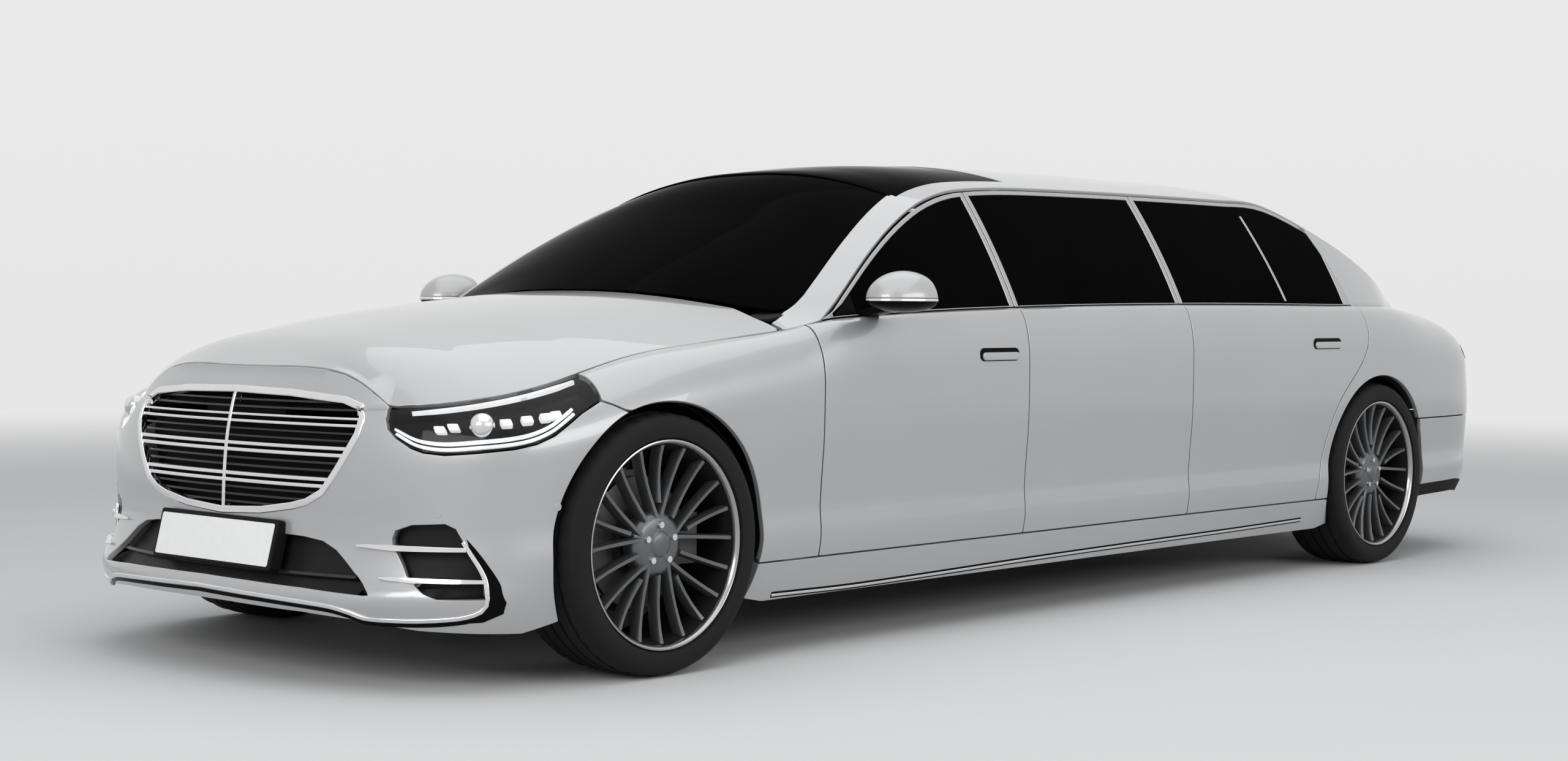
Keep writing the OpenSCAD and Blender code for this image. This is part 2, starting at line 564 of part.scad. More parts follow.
// The grille's louvres and three broad slats on a back plate, its middle bar, and the plates of the intakes
louvres = 5;
SLAT_Z = [526, 613, 690];
slat_h = 22;
bar_x = 9;
louvre_h = 8;
module grille() color("black") {
    low = GRILLE[0][1];
    high = GRILLE[0][2];
    intersection() {
        union() {
            nose_sheet(MIDDLE_A, steps(low - 5, high + 5, 3), 14, 7);
            for (z = steps(low + 24, high - 24, louvres)) nose_sheet(MIDDLE_A, [z, z + louvre_h], 5, 14);
            for (z = SLAT_Z) nose_sheet(MIDDLE_A, [z - slat_h / 2, z + slat_h / 2], 0, 18);
            panel([for (z = steps(low - 5, high + 5, 5)) [for (x = [-bar_x, bar_x]) [x, nose_pt(90, z)[1] - 3, z]]],
                  20);
        }
        front_prism(both_sides(GRILLE), seat);
    }
    intersection() {
        nose_sheet(MIDDLE_A, steps(INTAKE[0][1] - 30, INTAKE[0][2] + 10, 2), 10, 8);
        front_prism(both_sides(INTAKE), seat);
    }
    pair() intersection() {
        nose_sheet(CORNER_A, steps(SIDE_INTAKE[7][1] - 10, SIDE_INTAKE[3][2] + 10, 2), 19, 7);
        front_prism(SIDE_INTAKE, seat);
    }
}

rear_low_z = 205;
function tail_row(v) =
    let (z0 = lerp(rear_low_z, quarter_split_z - seat, v),
         left = concat([for (y = [ra + 342, tail_start]) side_pt(y, z0)],
                       [for (a = [10, 24, 38, 52, 64, 77, 90]) tail_pt(a, z0)]))
    concat([for (i = [0:len(left) - 2]) left[i]],
           [for (i = [len(left) - 1:-1:0]) [-left[i][0], left[i][1], left[i][2]]]);
module rear_bumper() color("silver") difference() {
    panel([for (v = steps(0, 1, 5)) tail_row(v)], skin_t, [1, 1, -1, 2]);
    pair() arch(ra);
}
module tail_lamps() color("darkred") pair() intersection() {
    panel([for (z = steps(785, 900, 4)) [for (a = steps(20, 70, 6)) tail_pt(a, z)]], 45);
    tail_prism(seat);
}

// Lids
cowl_gap = 52;
function bonnet_pt(s, r) =
    let (f = nose_pt(lerp(90, bonnet_a, abs(s)), nose_z)[1], y = lerp(f, cowl_y(s * 700) - cowl_gap, r),
         x = s * (edge_x(y) - shut_gap * (1 + 4 * (1 - r) ^ 6)))
    [x, y, bonnet_z(x, y)];
BONNET_S = [-1, -0.96, -0.88, -0.75, -0.58, -0.36, -0.12, 0.12, 0.36, 0.58, 0.75, 0.88, 0.96, 1];
module bonnet() color("silver")
    lid([for (r = [0, 0.04, 0.1, 0.2, 0.35, 0.55, 0.75, 0.9, 1]) [for (s = BONNET_S) bonnet_pt(s, r)]],
        lid_lip, lid_t, 60);

lid_y0 = ra + 556;
lid_lip_z = 935;
function lid_a(s) = 90 - (90 - tail_a) * abs(s);
function boot_pt(s, r) =
    let (k = sign(s) * (cos(lid_a(s)) / cos(tail_a)) ^ (2 / corner_q), lip = tail_pt(lid_a(s), lid_lip_z))
    r <= 1 ? let (y = lerp(lid_y0 + 30 * s * s, lip[1] - 10, r), corner_y = tail_pt(tail_a, lid_lip_z)[1],
                  x = k * (edge_x(min(y, corner_y)) - shut_gap * (1 + 2 * r ^ 5)))
                 [x, y, boot_z(x, y)]
           : let (z = lerp(boot_pt(s, 1)[2] - 10, quarter_split_z + shut_gap, r - 1),
                  x = tail_pt(tail_a, z)[0] - shut_gap * lerp(4.6, 1.6, min((r - 1) * 6, 1)))
                 [k * x, tail_pt(lid_a(s), z)[1], z];
module boot_lid() color("silver")
    lid([for (r = [0, 0.3, 0.6, 0.78, 0.88, 0.94, 1, 1.001, 1.02, 1.05, 1.12, 1.4, 1.7, 2])
        [for (s = steps(-1, 1, 10)) boot_pt(s, r)]], lid_lip, lid_t, 60);

// Roof and glass
header_y = fa + 1330;
rear_header_y = ra - 130;
function screen_x(y) = rail_x(y) - window_in;
SCREEN_Y = steps(cowl_y(700) + 12, header_y - seat, 7);
pillar_lift = 32;
roof_glass_x = 480;
module roof_cut(gap) {
    ys = steps(header_y + 120 + gap, header_y + 640 - gap, 8);
    for (i = [0:7]) hull() for (k = [i, i + 1])
        translate([-roof_glass_x + gap, ys[k] - cut_w / 2, height - 300])
            cube([2 * (roof_glass_x - gap), cut_w, 400]);
}
ROOF_S = [-1, -0.94, -0.86, -0.7, -0.45, -0.2, 0.2, 0.45, 0.7, 0.86, 0.94, 1];
function roof_pt(s, y) = let (x = s * (rail_x(y) - seat)) [x, y, top_z(x, y)];
module roof() color("silver") {
    g = [for (y = concat([header_y], steps(header_y + 80, rear_header_y, 11)))
        [for (s = ROOF_S) roof_pt(s, y)]];
    difference() {
        slab(g, [for (row = g) [for (p = row)
            p - [0, 0, lerp(roof_lip, lid_t, min((row[len(row) - 1][0] - abs(p[0])) / 70, 1))]]]);
        roof_cut(0);
    }
    a = [for (y = SCREEN_Y) [for (u = [0, 0.4, 1])
        let (x = lerp(screen_x(y) + seat, rail_x(y) - seat, u))
        [x, y, max(top_z(x, y), edge_z(y) + pillar_lift + 30 * (1 - u))]]];
    pair() slab(a, [for (row = a) [for (j = [0:2]) row[j] - [0, 0, j == 2 ? roof_lip : skin_t]]]);
}
glass_gap = 1.2;
module fixed_glass() color("black") {
    down = [0, 0, -glass_t];
    front = [for (r = steps(0, 1, 6)) [for (s = steps(-1, 1, 8))
        let (y = lerp(cowl_y(s * 700) + 12, header_y - seat, r), x = s * (screen_x(y) - glass_gap))
        [x, y, top_z(x, y) - 3]]];
    slab(front, moved(front, down));
    rear = [for (r = steps(0, 1, 6)) [for (s = steps(-1, 1, 8))
        let (y = lerp(rear_header_y + seat, lid_y0 - 14, r), x = s * (screen_x(y) - glass_gap))
        [x, y, top_z(x, y) - 3]]];
    slab(rear, moved(rear, down));
    top = [for (y = steps(header_y + 110, header_y + 650, 4)) [for (s = steps(-0.85, 0.85, 6))
        roof_pt(s, y) - [0, 0, 2]]];
    intersection() {
        slab(top, moved(top, down));
        roof_cut(seat);
    }
    pair() window_glass(win2_y);
}

// Floor, bulkheads, chassis
shelf_x = 475;
bulkhead_y = 470;
bulkhead_x = 755;
boot_x = 620;
module floor_pan() color("dimgray") {
    y0 = fa + bulkhead_y;
    y1 = ra - 480;
    translate([-floor_x, y0, floor_z]) cube([2 * floor_x, y1 - y0, 34]);
    translate([-bulkhead_x, y0, floor_z]) cube([2 * bulkhead_x, 30, 640]);
    translate([-boot_x, y1 - 30, floor_z]) cube([2 * boot_x, 30, boot_floor_z + 30 - floor_z]);
    translate([-boot_x, y1 - 30, boot_floor_z]) cube([2 * boot_x, y_rear - 100 - y1, 30]);
    translate([-bulkhead_x, y0, 796]) cube([2 * bulkhead_x, 240, 22]);
    translate([-boot_x, ra - 330, boot_floor_z]) cube([2 * boot_x, 26, 550]);
    translate([-shelf_x, ra - 330, 955]) cube([2 * shelf_x, 770, 25]);
    for (y = [fa + 620, ra - 620]) pair()
        translate([660, y - 40, sill_z]) cube([80, 80, floor_z - sill_z + 1]);
}

module tyre() {
    r = tyre_d / 2;
    b = rim_d / 2;
    w = tyre_w / 2;
    rotate([0, 90, 0]) rotate_extrude($fn = 96)
        polygon([[b - 8, -w + 17], [b + 1, -w + 17], [b + 8, -w + 6], [r - 30, -w], [r - 9, -w + 12],
                 [r, -w + 36], [r, w - 36], [r - 9, w - 12], [r - 30, w], [b + 8, w - 6], [b + 1, w - 17], [b - 8, w - 17]]);
}
module rim() {
    r = rim_d / 2;
    w = tyre_w / 2;
    bore = axle_r + pin_gap;
    rotate([0, 90, 0]) rotate_extrude($fn = 96)
        polygon([[r, -w + 8], [r, -w + 14], [r - 8 - seat, -w + 16], [r - 8 - seat, w - 16], [r, w - 14],
                 [r, w - 8], [r - 16, w - 8], [r - 26, w - 30], [r - 30, -w + 30], [r - 16, -w + 8]]);
    rotate([0, 90, 0]) rotate_extrude($fn = 64)
        polygon([[bore, 30], [80, 30], [84, 74], [60, 86], [bore, 86]]);
    rotate([0, 90, 0]) rotate_extrude($fn = 64)
        polygon([[bore, -25], [185, -25], [185, 5], [90, 5], [80, 31], [bore, 31]]);
    translate([84, 0, 0]) rotate([0, 90, 0]) cylinder(r = 60, h = 8, $fn = 48);
    for (i = [0:spoke_groups - 1]) rotate([i * 360 / spoke_groups, 0, 0])
        for (k = SPOKES) translate([70, 0, 0]) rotate([90, 0, 90]) linear_extrude(22)
            spoke([68 * sin(k[0]), 68 * cos(k[0])], [(r - 22) * sin(k[1]), (r - 22) * cos(k[1])]);
}
// One group: a pair that spreads like a V, a spoke inside it and one beside it, by angle at hub and rim
SPOKES = [[0, 0], [-5, -90 / spoke_groups], [5, 90 / spoke_groups], [180 / spoke_groups, 180 / spoke_groups]];
module spoke(a, b) {
    n = [a[1] - b[1], b[0] - a[0]] / norm(b - a);
    polygon([a + 8 * n, a - 8 * n, b - 5 * n, b + 5 * n]);
}
module wheel_at(x, y, turn) translate([x, y, wheel_z]) rotate([0, 0, turn]) children();
module tyre_FL() color("black") wheel_at(front_track / 2, fa, 0) tyre();
module tyre_FR() color("black") wheel_at(-front_track / 2, fa, 180) tyre();
module tyre_RL() color("black") wheel_at(rear_track / 2, ra, 0) tyre();
module tyre_RR() color("black") wheel_at(-rear_track / 2, ra, 180) tyre();
module rim_FL() color("gray") wheel_at(front_track / 2, fa, 0) rim();
module rim_FR() color("gray") wheel_at(-front_track / 2, fa, 180) rim();
module rim_RL() color("gray") wheel_at(rear_track / 2, ra, 0) rim();
module rim_RR() color("gray") wheel_at(-rear_track / 2, ra, 180) rim();

king_in = 60;
king_r = 14;
arm_low_z = 165;
arm_high_z = 556;
module knuckle() {
    x = front_track / 2 - king_in;
    translate([x, fa, arm_low_z]) cylinder(r = king_r, h = arm_high_z + 30 - arm_low_z, $fn = 48);
    translate([x - 26, fa - 40, arm_low_z + 34]) cube([50, 80, arm_high_z - 6 - arm_low_z - 34]);
    translate([x, fa, wheel_z]) rotate([0, 90, 0]) cylinder(r = axle_r, h = king_in + 80, $fn = 48);
    translate([x - 60, fa + 30, wheel_z - 70]) cube([50, 130, 22]);
    translate([x + 8, fa + 30, wheel_z - 50]) cube([17, 90, 100]);
    difference() {
        translate([x + 8, fa + 105, wheel_z - 70]) cube([74, 105, 140]);
        translate([front_track / 2 - 33, fa, wheel_z]) rotate([0, 90, 0]) cylinder(r = 192, h = 46, $fn = 64);
    }
}
module knuckle_L() color("gray") knuckle();
module knuckle_R() color("gray") mirror([1, 0, 0]) knuckle();

module front_subframe() color("dimgray") {
    translate([-470, fa - 60, arm_low_z]) cube([940, 120, 60]);
    pair() translate([380, fa - 60, floor_z]) cube([80, bulkhead_y + 60 - seat, 60]);
    pair() {
        x = front_track / 2 - king_in;
        for (z = [arm_low_z, arm_high_z]) difference() {
            union() {
                translate([440, fa - 25, z]) cube([x - 440, 50, 28]);
                translate([x, fa, z]) cylinder(r = king_r + 10, h = 28, $fn = 48);
            }
            translate([x, fa, z - 5]) cylinder(r = king_r + pin_gap, h = 60, $fn = 48);
        }
        translate([420, fa - 40, arm_low_z]) cube([40, 80, arm_high_z + 28 - arm_low_z]);
    }
}
module engine() color("dimgray")
    translate([-260, fa - 330, arm_low_z + 60 + seat]) cube([520, 700, 540]);

module rear_axle() color("dimgray") {
    translate([-560, ra - 70, wheel_z - 90]) cube([1120, 140, 120]);
    pair() {
        translate([540, ra - 40, wheel_z - 60]) cube([170, 80, 100]);
        translate([300, ra - 40, wheel_z]) cube([100, 80, boot_floor_z - seat - wheel_z]);
        translate([700, ra, wheel_z]) rotate([0, 90, 0])
            cylinder(r = axle_r, h = rear_track / 2 + 80 - 700, $fn = 48);
    }
}

steering_x = 380;
steering_r = 175;
module dashboard() color("black") {
    y = fa + bulkhead_y + 240 + seat;
    translate([-bulkhead_x, 0, 0]) rotate([90, 0, 90]) linear_extrude(2 * bulkhead_x)
        polygon([[y, 690], [y + 150, 690], [y + 170, 750], [y + 240, 780], [y + 240, 850], [y + 190, 880],
                 [y, 880]]);
    translate([steering_x, y + 370, 850]) rotate([-70, 0, 0]) {
        rotate_extrude($fn = 64) translate([steering_r, 0]) circle(r = 14, $fn = 24);
        translate([0, 0, -200]) cylinder(r = 24, h = 200, $fn = 32);
        translate([0, 0, -25]) cylinder(r = 62, h = 32, $fn = 48);
        translate([-steering_r, -20, -6]) cube([2 * steering_r, 40, 12]);
        translate([-18, 0, -6]) cube([36, steering_r, 12]);
    }
}
// Front seats in one piece seen from the side, then the rear bench and its back
SEAT = [[0, 0], [520, 0], [560, 80], [610, 700], [600, 860], [535, 870], [500, 720], [455, 270], [60, 300],
        [0, 250]];
module seats() color("dimgray") {
    pair() translate([150, fa + 1150, floor_z + 34 + seat]) rotate([90, 0, 90]) linear_extrude(540)
        polygon(SEAT);
    translate([-700, ra - 1000, floor_z + 34 + seat]) cube([1400, 480, 250]);
    translate([-610, ra - 465, boot_floor_z + 30 + seat]) cube([1220, 130, 460]);
}

floor_pan();
front_wings();
mid_panels();
rear_quarters();
side_skirts();
roof();
fixed_glass();
front_bumper();
rear_bumper();
grille();
headlamps();
tail_lamps();
hinge_posts();
front_subframe();
engine();
rear_axle();
dashboard();
seats();
bonnet();
bonnet_arms();
boot_lid();
boot_arms();
front_door_L();
front_card_L();
front_glass_L();
mirror_L();
front_door_R();
front_card_R();
front_glass_R();
mirror_R();
rear_door_L();
rear_card_L();
rear_glass_L();
rear_door_R();
rear_card_R();
rear_glass_R();
knuckle_L();
knuckle_R();
tyre_FL();
rim_FL();
tyre_FR();
rim_FR();
tyre_RL();
rim_RL();
tyre_RR();
rim_RR();
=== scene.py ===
import math

import bmesh
import bpy
import numpy as np
from mathutils import Matrix, Vector
from mathutils.geometry import delaunay_2d_cdt


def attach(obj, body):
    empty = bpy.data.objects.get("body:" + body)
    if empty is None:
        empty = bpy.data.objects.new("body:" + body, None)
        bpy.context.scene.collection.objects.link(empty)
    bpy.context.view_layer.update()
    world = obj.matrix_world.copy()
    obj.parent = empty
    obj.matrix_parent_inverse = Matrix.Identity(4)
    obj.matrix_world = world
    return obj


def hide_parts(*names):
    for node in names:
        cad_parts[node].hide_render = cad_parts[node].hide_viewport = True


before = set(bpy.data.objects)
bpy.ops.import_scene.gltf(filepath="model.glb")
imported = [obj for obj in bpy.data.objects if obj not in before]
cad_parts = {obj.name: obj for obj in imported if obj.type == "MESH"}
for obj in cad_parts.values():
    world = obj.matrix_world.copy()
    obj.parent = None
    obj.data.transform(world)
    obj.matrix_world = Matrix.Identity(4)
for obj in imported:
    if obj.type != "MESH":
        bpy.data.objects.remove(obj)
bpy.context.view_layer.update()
scene = bpy.context.scene


# Studio: a pale floor that runs on into a pale surround, large soft lamps overhead and at the sides,
# and the camera low at the front left corner, where the photographer stood.
class Wire:
    """A shader socket that takes Python arithmetic, and makes any other node beside it."""

    def __init__(self, tree, socket=None):
        self.tree, self.socket = tree, socket

    def node(self, kind, inputs=None, out=0, stops=None, **settings):
        made = self.tree.nodes.new(kind)
        for name, value in settings.items():
            setattr(made, name, value)
        for place, (at, shade) in enumerate(stops or []):
            ramp = made.color_ramp.elements
            stop = ramp[place] if place < 2 else ramp.new(at)
            stop.position, stop.color = at, (shade, shade, shade, 1)
        for name, value in (inputs or {}).items():
            if isinstance(value, Wire):
                self.tree.links.new(value.socket, made.inputs[name])
            else:
                made.inputs[name].default_value = value
        return Wire(self.tree, made.outputs[out] if made.outputs else None)

    def sum(self, work, a, b):
        return self.node("ShaderNodeMath", {0: a, 1: b}, operation=work)

    def __add__(self, other): return self.sum("ADD", self, other)
    def __radd__(self, other): return self.sum("ADD", other, self)
    def __mul__(self, other): return self.sum("MULTIPLY", self, other)
    def __rmul__(self, other): return self.sum("MULTIPLY", other, self)

    def noise(self, where, scale, detail=2.0):
        return self.node("ShaderNodeTexNoise", {"Vector": where, "Scale": scale, "Detail": detail})

    def mix(self, share, *ends):
        a, b = (end if isinstance(end, Wire) else (*end, 1) for end in ends)
        return self.node("ShaderNodeMix", {0: share, 6: a, 7: b}, out=2, data_type="RGBA")

    def bump(self, height, distance, strength):
        return self.node("ShaderNodeBump", {"Height": height, "Distance": distance, "Strength": strength})


def finish(name, recipe, fade=None):
    """Material whose recipe gives the Principled sockets from the Object coordinates. A fade may cover the shader."""
    made = bpy.data.materials.new(name)
    made.use_nodes = True
    made.node_tree.nodes.clear()
    wire = Wire(made.node_tree)
    where = wire.node("ShaderNodeTexCoord", out="Object")
    shader = wire.node("ShaderNodeBsdfPrincipled", recipe(wire, where))
    wire.node("ShaderNodeOutputMaterial", {"Surface": fade(wire, where, shader) if fade else shader})
    return made


def mottled(name, scale, dark, light, rough, spread=0.0, metal=0.0, gloss=0.5, relief=None, grain=None, cells=None,
            stretch=None, fade=None):
    """Finish that drifts between two colours or greys, and from rough over a spread of roughness. Relief is the depth
    and strength of a bump, from the drift itself, a grain or cells. Stretch draws the drift out along the axes."""
    dark, light = ((c, c, c) if isinstance(c, float) else c for c in (dark, light))

    def recipe(wire, where):
        if stretch:
            where = wire.node("ShaderNodeMapping", {"Vector": where, "Scale": stretch})
        drift = wire.noise(where, scale)
        sockets = {"Base Color": wire.mix(drift, dark, light), "Roughness": rough + drift * spread,
                   "Metallic": metal, "Specular IOR Level": gloss}
        if relief:
            height = wire.noise(where, grain) if grain else drift
            if cells:
                height = wire.node("ShaderNodeTexVoronoi", {"Vector": where, "Scale": cells})
            sockets["Normal"] = wire.bump(height, *relief)
        return sockets
    return finish(name, recipe, fade)


PALE = 0.80


def into_haze(wire, where, near):
    """The floor's shader, gone over into the pale surround away from the car."""
    reach = wire.node("ShaderNodeVectorMath", {0: where}, out="Value", operation="LENGTH")
    far = wire.node("ShaderNodeMapRange", {0: reach, 1: 5.0, 2: 15.0}, interpolation_type="SMOOTHSTEP")
    haze = wire.node("ShaderNodeEmission", {"Color": (PALE, PALE, PALE, 1), "Strength": 1.0})
    return wire.node("ShaderNodeMixShader", {0: far, 1: near, 2: haze})


shape = bmesh.new()
bmesh.ops.create_grid(shape, x_segments=4, y_segments=4, size=60)
mesh = bpy.data.meshes.new("studio_floor")
shape.to_mesh(mesh)
mesh.materials.append(mottled("studio floor", 0.6, 0.76, PALE, 0.8, gloss=0.1, fade=into_haze))
floor = bpy.data.objects.new("studio_floor", mesh)
scene.collection.objects.link(floor)

world = bpy.data.worlds.new("studio")
scene.world = world
world.use_nodes = True
world.node_tree.nodes.clear()
sky = Wire(world.node_tree)
path = sky.node("ShaderNodeLightPath").socket.node
direct, mirrored, through = (Wire(sky.tree, path.outputs[f"Is {kind} Ray"])
                             for kind in ("Camera", "Glossy", "Transmission"))
seen = sky.sum("MINIMUM", direct + mirrored + through, 1.0)
height = sky.node("ShaderNodeSeparateXYZ", {0: sky.node("ShaderNodeTexCoord", out="Generated")}, out=2)
shown = sky.node("ShaderNodeValToRGB", {0: height}, stops=[(0.0, PALE), (0.6, 0.90)])
lit = sky.node("ShaderNodeBackground", {"Color": (0.9, 0.92, 0.95, 1), "Strength": 0.42})
plain = sky.node("ShaderNodeBackground", {"Color": shown, "Strength": 1.0})
sky.node("ShaderNodeOutputWorld", {"Surface": sky.node("ShaderNodeMixShader", {0: seen, 1: lit, 2: plain})})


def softbox(name, place, aim, wide, deep, power):
    lamp = bpy.data.lights.new(name, "AREA")
    lamp.shape, lamp.size, lamp.size_y, lamp.energy = "RECTANGLE", wide, deep, power
    thing = bpy.data.objects.new(name, lamp)
    thing.location = place
    thing.rotation_euler = (Vector(aim) - Vector(place)).to_track_quat("-Z", "Y").to_euler()
    scene.collection.objects.link(thing)


softbox("overhead_box", (0.5, -0.5, 6.5), (0, 0, 0), 8, 12, 200)
softbox("front_box", (2.5, -9.0, 4.0), (0, -2, 0.5), 5, 3, 190)
softbox("side_box", (9.0, 0.5, 3.6), (0, 0, 0.6), 9, 3, 205)

yaw, pitch, roll = (math.radians(a) for a in (42.046, 1.816, 0.37))
back = Vector((math.sin(yaw) * math.cos(pitch), -math.cos(yaw) * math.cos(pitch), math.sin(pitch)))
level = Vector((math.cos(yaw), math.sin(yaw), 0))
right = math.cos(roll) * level + math.sin(roll) * back.cross(level)
lens = bpy.data.cameras.new("camera")
lens.lens, lens.sensor_width = 53.24, 36
camera = bpy.data.objects.new("camera", lens)
camera.matrix_world = Matrix.Translation((5.3312, -6.5486, 0.9958)) @ Matrix(
    (right, back.cross(right), back)).transposed().to_4x4()
scene.collection.objects.link(camera)
scene.camera = camera
scene.view_settings.view_transform = "Standard"


# Body sides: pressed steel panels lacquered in light silver, from the front wings over the doors to the quarters.
# The sections along the car (millimetres, as in the drawings) give one skin, and each panel is cut from it by its
# shut lines, with hemmed edges.
FA, RA = -2150, 1800
NOSE_END, TAIL_END = -2980, 2980
BELT, CREASE = 985, 335
STATIONS = [[FA - 700, 933, 140, BELT - 272, 560], [FA - 330, 943, 150, BELT - 203, 620],
            [FA, 955, 150, BELT - 123, 690], [FA + 300, 956, 128, BELT - 84, 730],
            [FA + 560, 955, 100, BELT - 54, 760], [FA + 760, 955, 58, BELT - 22, 800],
            [FA + 1600, 955, 52, BELT + 12, 820], [RA - 1290, 955, 52, BELT + 28, 830],
            [RA - 300, 968, 62, BELT + 29, 840], [RA + 200, 974, 110, BELT + 27, 830],
            [RA + 560, 961, 228, BELT + 12, 800], [RA + 800, 949, 258, BELT - 20, 780],
            [RA + 1100, 933, 268, BELT - 85, 760]]
LOW = [[140, 0.935], [160, 0.945], [230, 0.966], [CREASE, 0.988], [CREASE + 95, 0.984], [650, 1], [1100, 1]]
NOSE = [[120, 60], [200, 8], [250, 0], [300, 40], [364, 66], [420, 72], [520, 76], [620, 84], [700, 98], [760, 115],
        [820, 145]]
TAIL = [[180, 190], [230, 120], [300, 45], [420, 8], [560, 0], [640, 12], [720, 40], [820, 62], [900, 70], [960, 55],
        [1000, 70]]
RAIL = [[FA + 450, 800], [FA + 650, 922], [FA + 800, 1030], [FA + 1000, 1160], [FA + 1200, 1265], [FA + 1400, 1342],
        [FA + 1600, 1383], [FA + 2000, 1403], [RA - 750, 1410], [RA - 440, 1398], [RA - 60, 1266], [RA + 305, 1108],
        [RA + 590, 1002]]
CENTRE = [[FA + 450, 1020], [FA + 650, 1118], [FA + 1000, 1292], [FA + 1300, 1435], [FA + 1500, 1471],
          [FA + 1752, 1491], [FA + 2300, 1503], [RA - 950, 1503], [RA - 450, 1487], [RA - 60, 1390],
          [RA + 305, 1210], [RA + 550, 1082]]
BONNET = [[FA - 740, 800], [FA - 690, 826], [FA - 536, 900], [FA - 350, 945], [FA - 121, 984], [FA + 335, 1032],
          [FA + 700, 1056]]
BOOT = [[RA + 520, 1086], [RA + 800, 1050], [RA + 1000, 1006], [RA + 1120, 962]]
REAR_EDGE = [[260, RA - 466], [299, RA - 466], [470, RA - 420], [637, RA - 334], [803, RA - 153], [900, RA - 105],
             [1010, RA - 112], [1100, RA - 128], [1300, RA - 200], [1450, RA - 240]]
NOSE_START, TAIL_START = FA - 120, RA + 420
NOSE_POWER, TAIL_POWER, SIDE_POWER = 4, 5, 2.2
DOOR1, MID0, DOOR2 = FA + 632, FA + 1625.5, FA + 2598.5
SKIRT_TOP, ARCH, AXLE_Z = 275.5, 384, 356


def curve(t, table, column=1):
    """Smooth curve through a table's column, at positions in its first column."""
    rows = np.array(table, float)
    x, v = rows[:, 0], rows[:, column]
    slope = np.empty_like(v)
    slope[1:-1] = (v[2:] - v[:-2]) / (x[2:] - x[:-2])
    slope[0], slope[-1] = (v[1] - v[0]) / (x[1] - x[0]), (v[-1] - v[-2]) / (x[-1] - x[-2])
    t = np.clip(t, x[0], x[-1])
    i = np.clip(np.searchsorted(x, t, "right") - 1, 0, len(x) - 2)
    h = x[i + 1] - x[i]
    s = (t - x[i]) / h
    return (v[i] * (2 * s ** 3 - 3 * s ** 2 + 1) + h * slope[i] * (s ** 3 - 2 * s ** 2 + s)
            + v[i + 1] * (3 * s ** 2 - 2 * s ** 3) + h * slope[i + 1] * (s ** 3 - s ** 2))


def power(base, exponent):
    return np.maximum(base, 0) ** exponent


def edge_z(y):
    return curve(y, STATIONS, 3)


def turn(y):
    """Where the side turns in at y: its height, the edge's height, the inset, and the length round the turn."""
    z0, edge, inset = curve(y, STATIONS, 4), edge_z(y), curve(y, STATIONS, 2)
    return z0, edge, inset, np.pi / 2 * np.sqrt((inset ** 2 + (edge - z0) ** 2) / 2)


def rounding(z, tail):
    """Start, end and power of the nose's or the tail's rounding at height z."""
    if tail:
        return TAIL_START, TAIL_END - curve(z, TAIL), TAIL_POWER
    return NOSE_START, NOSE_END + curve(z, NOSE), NOSE_POWER


def corner_y(a, z, tail):
    """Y of the skin round a corner: angle 0 on the side, 90 degrees on the centre line."""
    start, end, p = rounding(z, tail)
    return start + (end - start) * power(np.sin(a), 2 / p)


def into_corner(y, z, tail):
    """How far y lies round a corner: 0 where the rounding starts, 1 on the centre line."""
    start, end, p = rounding(z, tail)
    return np.clip((y - start) / (end - start), 0, 1) ** (p / 2)


def arc_table(z, tail):
    """Angles round a corner at height z, and the length of skin up to each."""
    a = np.linspace(0, np.pi / 2, 1500)
    y = corner_y(a, np.full_like(a, z), tail)
    x = curve(y, STATIONS, 1) * power(np.cos(a), 2 / SIDE_POWER)
    return a, np.concatenate([[0], np.cumsum(np.hypot(np.diff(x), np.diff(y)))])


NOSE_A, NOSE_ARC = arc_table(600.0, False)
TAIL_A, TAIL_ARC = arc_table(700.0, True)
ROUND = NOSE_ARC[-1]
SIDE_END = ROUND + TAIL_START - NOSE_START
GIRDLE = SIDE_END + TAIL_ARC[-1]


def flank(u, q):
    """Body skin below the belt: u runs round the car from the nose, q up the side. Negative u is the right side."""
    side, u, q = np.where(u < 0, -1, 1), np.abs(u), np.asarray(q, float)
    nose, tail = u < ROUND, u > SIDE_END
    a = np.where(nose, np.interp(ROUND - u, NOSE_ARC, NOSE_A), np.interp(u - SIDE_END, TAIL_ARC, TAIL_A))
    z = np.minimum(q, 760)
    for _ in range(5):
        y = np.where(nose, corner_y(a, z, False), np.where(tail, corner_y(a, z, True), NOSE_START + u - ROUND))
        z0, edge, inset, length = turn(y)
        swing = np.clip((q - z0) / length, 0, 1) * np.pi / 2
        z = np.where(q < z0, q, z0 + (edge - z0) * np.sin(swing)) + np.maximum(q - z0 - length, 0)
    half = curve(y, STATIONS, 1) * curve(z, LOW) - inset * (1 - np.cos(swing))
    return np.stack([side * half * np.where(nose | tail, power(np.cos(a), 2 / SIDE_POWER), 1), y, z], 1)


def girth(y, z):
    """How far up the side, as q, a height z is at y."""
    z0, edge, _, length = turn(np.asarray(y, float))
    share = np.clip((z - z0) / (edge - z0), 0, 1)
    return np.where(z < z0, z, z0 + length * np.arcsin(share) * 2 / np.pi + np.maximum(z - edge, 0))


def half_at(y, z):
    z0, edge, inset, _ = turn(y)
    share = np.clip((z - z0) / (edge - z0), 0, 1)
    return curve(y, STATIONS, 1) * curve(z, LOW) - inset * (1 - np.sqrt(1 - share ** 2))


